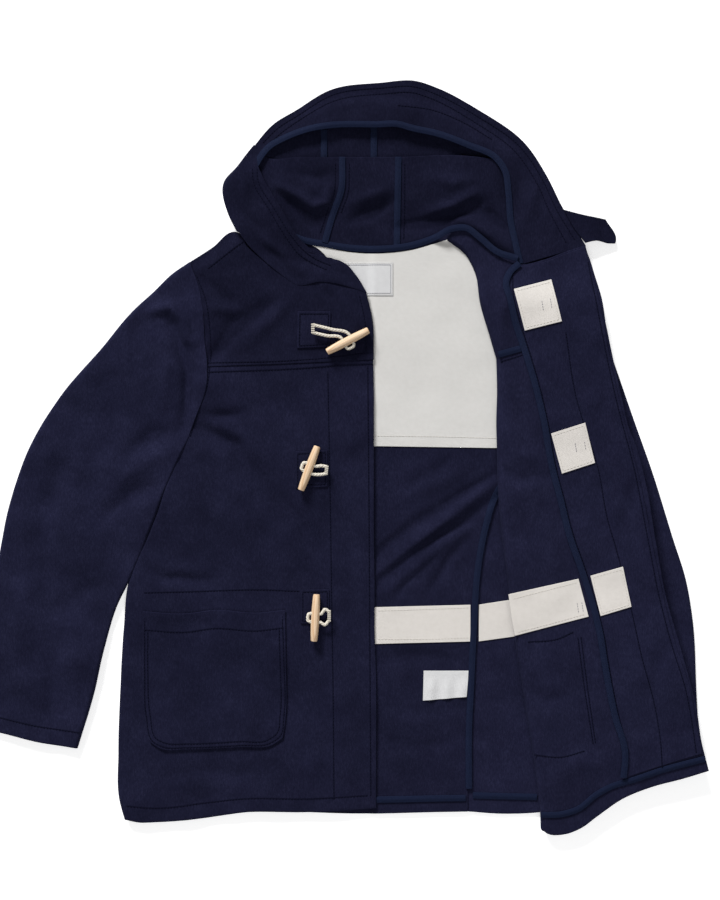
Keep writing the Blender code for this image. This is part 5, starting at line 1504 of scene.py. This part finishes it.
        rows = [[start + k * aside, end + k * aside] for k in (-1.5, -0.5, 0.5, 1.5)]
        stitches(f"stitches_toggle_cord_{number}", rows, toggle_cord_top, CORD, **WHIPPING)
    stitches("stitches_neck_label", [
        [(0.003, 0.251), (0.068, 0.251)], [(0.003, 0.211), (0.068, 0.211)],
        [(0.068, 0.251), (0.068, 0.211)],
    ], label_top, CREAM_THREAD, **LABEL_SEAM)
    stitches("border_neck_label", [
        [(0.004, 0.249), (0.066, 0.249)], [(0.004, 0.212), (0.066, 0.212)],
        [(0.066, 0.249), (0.066, 0.212)],
    ], label_top, GREY_THREAD, **LABEL_BORDER)


make_back()
make_toggle_side()
make_loop_side()
make_sleeves()
make_pockets()
make_facing()
make_hood()
make_cotton()
make_bindings()
make_toggles()
make_loops()
make_stitches()


# ---------------------------------------------------------------- floor, light and camera

FLOOR_REACH = 6.0
FLOOR_DROP = 0.0005
FLOOR_COLOUR = (0.93, 0.93, 0.935, 1.0)
FLOOR_GLOW = 0.50
PURE_WHITE = (1.0, 1.0, 1.0, 1.0)
SKY_STRENGTH = 0.20

# Name, place, size and power of each light, all turned to the middle of the coat
LIGHTS = [
    ("window_light", (-4.5, 11.5, 5.9), (5.0, 3.0), 2750.0),
    ("overhead_light", (0.3, -1.5, 2.6), (2.0, 2.0), 30.0),
]
CAMERA_PLACE = (0.026, 0.0077, 2.287)
CAMERA_LENS = 70.0
SENSOR_WIDTH = 36.0


def make_stage():
    bm = bmesh.new()
    bmesh.ops.create_grid(bm, x_segments=1, y_segments=1, size=FLOOR_REACH)
    floor = solid("floor", bm)
    floor.location = (0, 0, -FLOOR_DROP)
    pale = bpy.data.materials.new("pale_floor")
    pale.use_nodes = True
    inputs = pale.node_tree.nodes["Principled BSDF"].inputs
    inputs["Base Color"].default_value = FLOOR_COLOUR
    inputs["Roughness"].default_value = 0.9
    inputs["Specular IOR Level"].default_value = 0.1
    inputs["Emission Color"].default_value = PURE_WHITE
    inputs["Emission Strength"].default_value = FLOOR_GLOW
    floor.data.materials.append(pale)


def make_light():
    for name, place, size, power in LIGHTS:
        data = bpy.data.lights.new(name, "AREA")
        data.shape = "RECTANGLE"
        data.size, data.size_y = size
        data.energy = power
        lamp = linked(name, data)
        lamp.location = place
        lamp.rotation_euler = (-Vector(place)).to_track_quat("-Z", "Y").to_euler()
    world = bpy.data.worlds.new("studio")
    bpy.context.scene.world = world
    world.use_nodes = True
    sky = world.node_tree.nodes["Background"]
    sky.inputs["Color"].default_value = PURE_WHITE
    sky.inputs["Strength"].default_value = SKY_STRENGTH
    bpy.context.scene.view_settings.view_transform = "Standard"


def make_camera():
    data = bpy.data.cameras.new("camera")
    data.lens = CAMERA_LENS
    data.sensor_width = SENSOR_WIDTH
    camera = linked("camera", data)
    camera.location = CAMERA_PLACE
    bpy.context.scene.camera = camera


make_stage()
make_light()
make_camera()
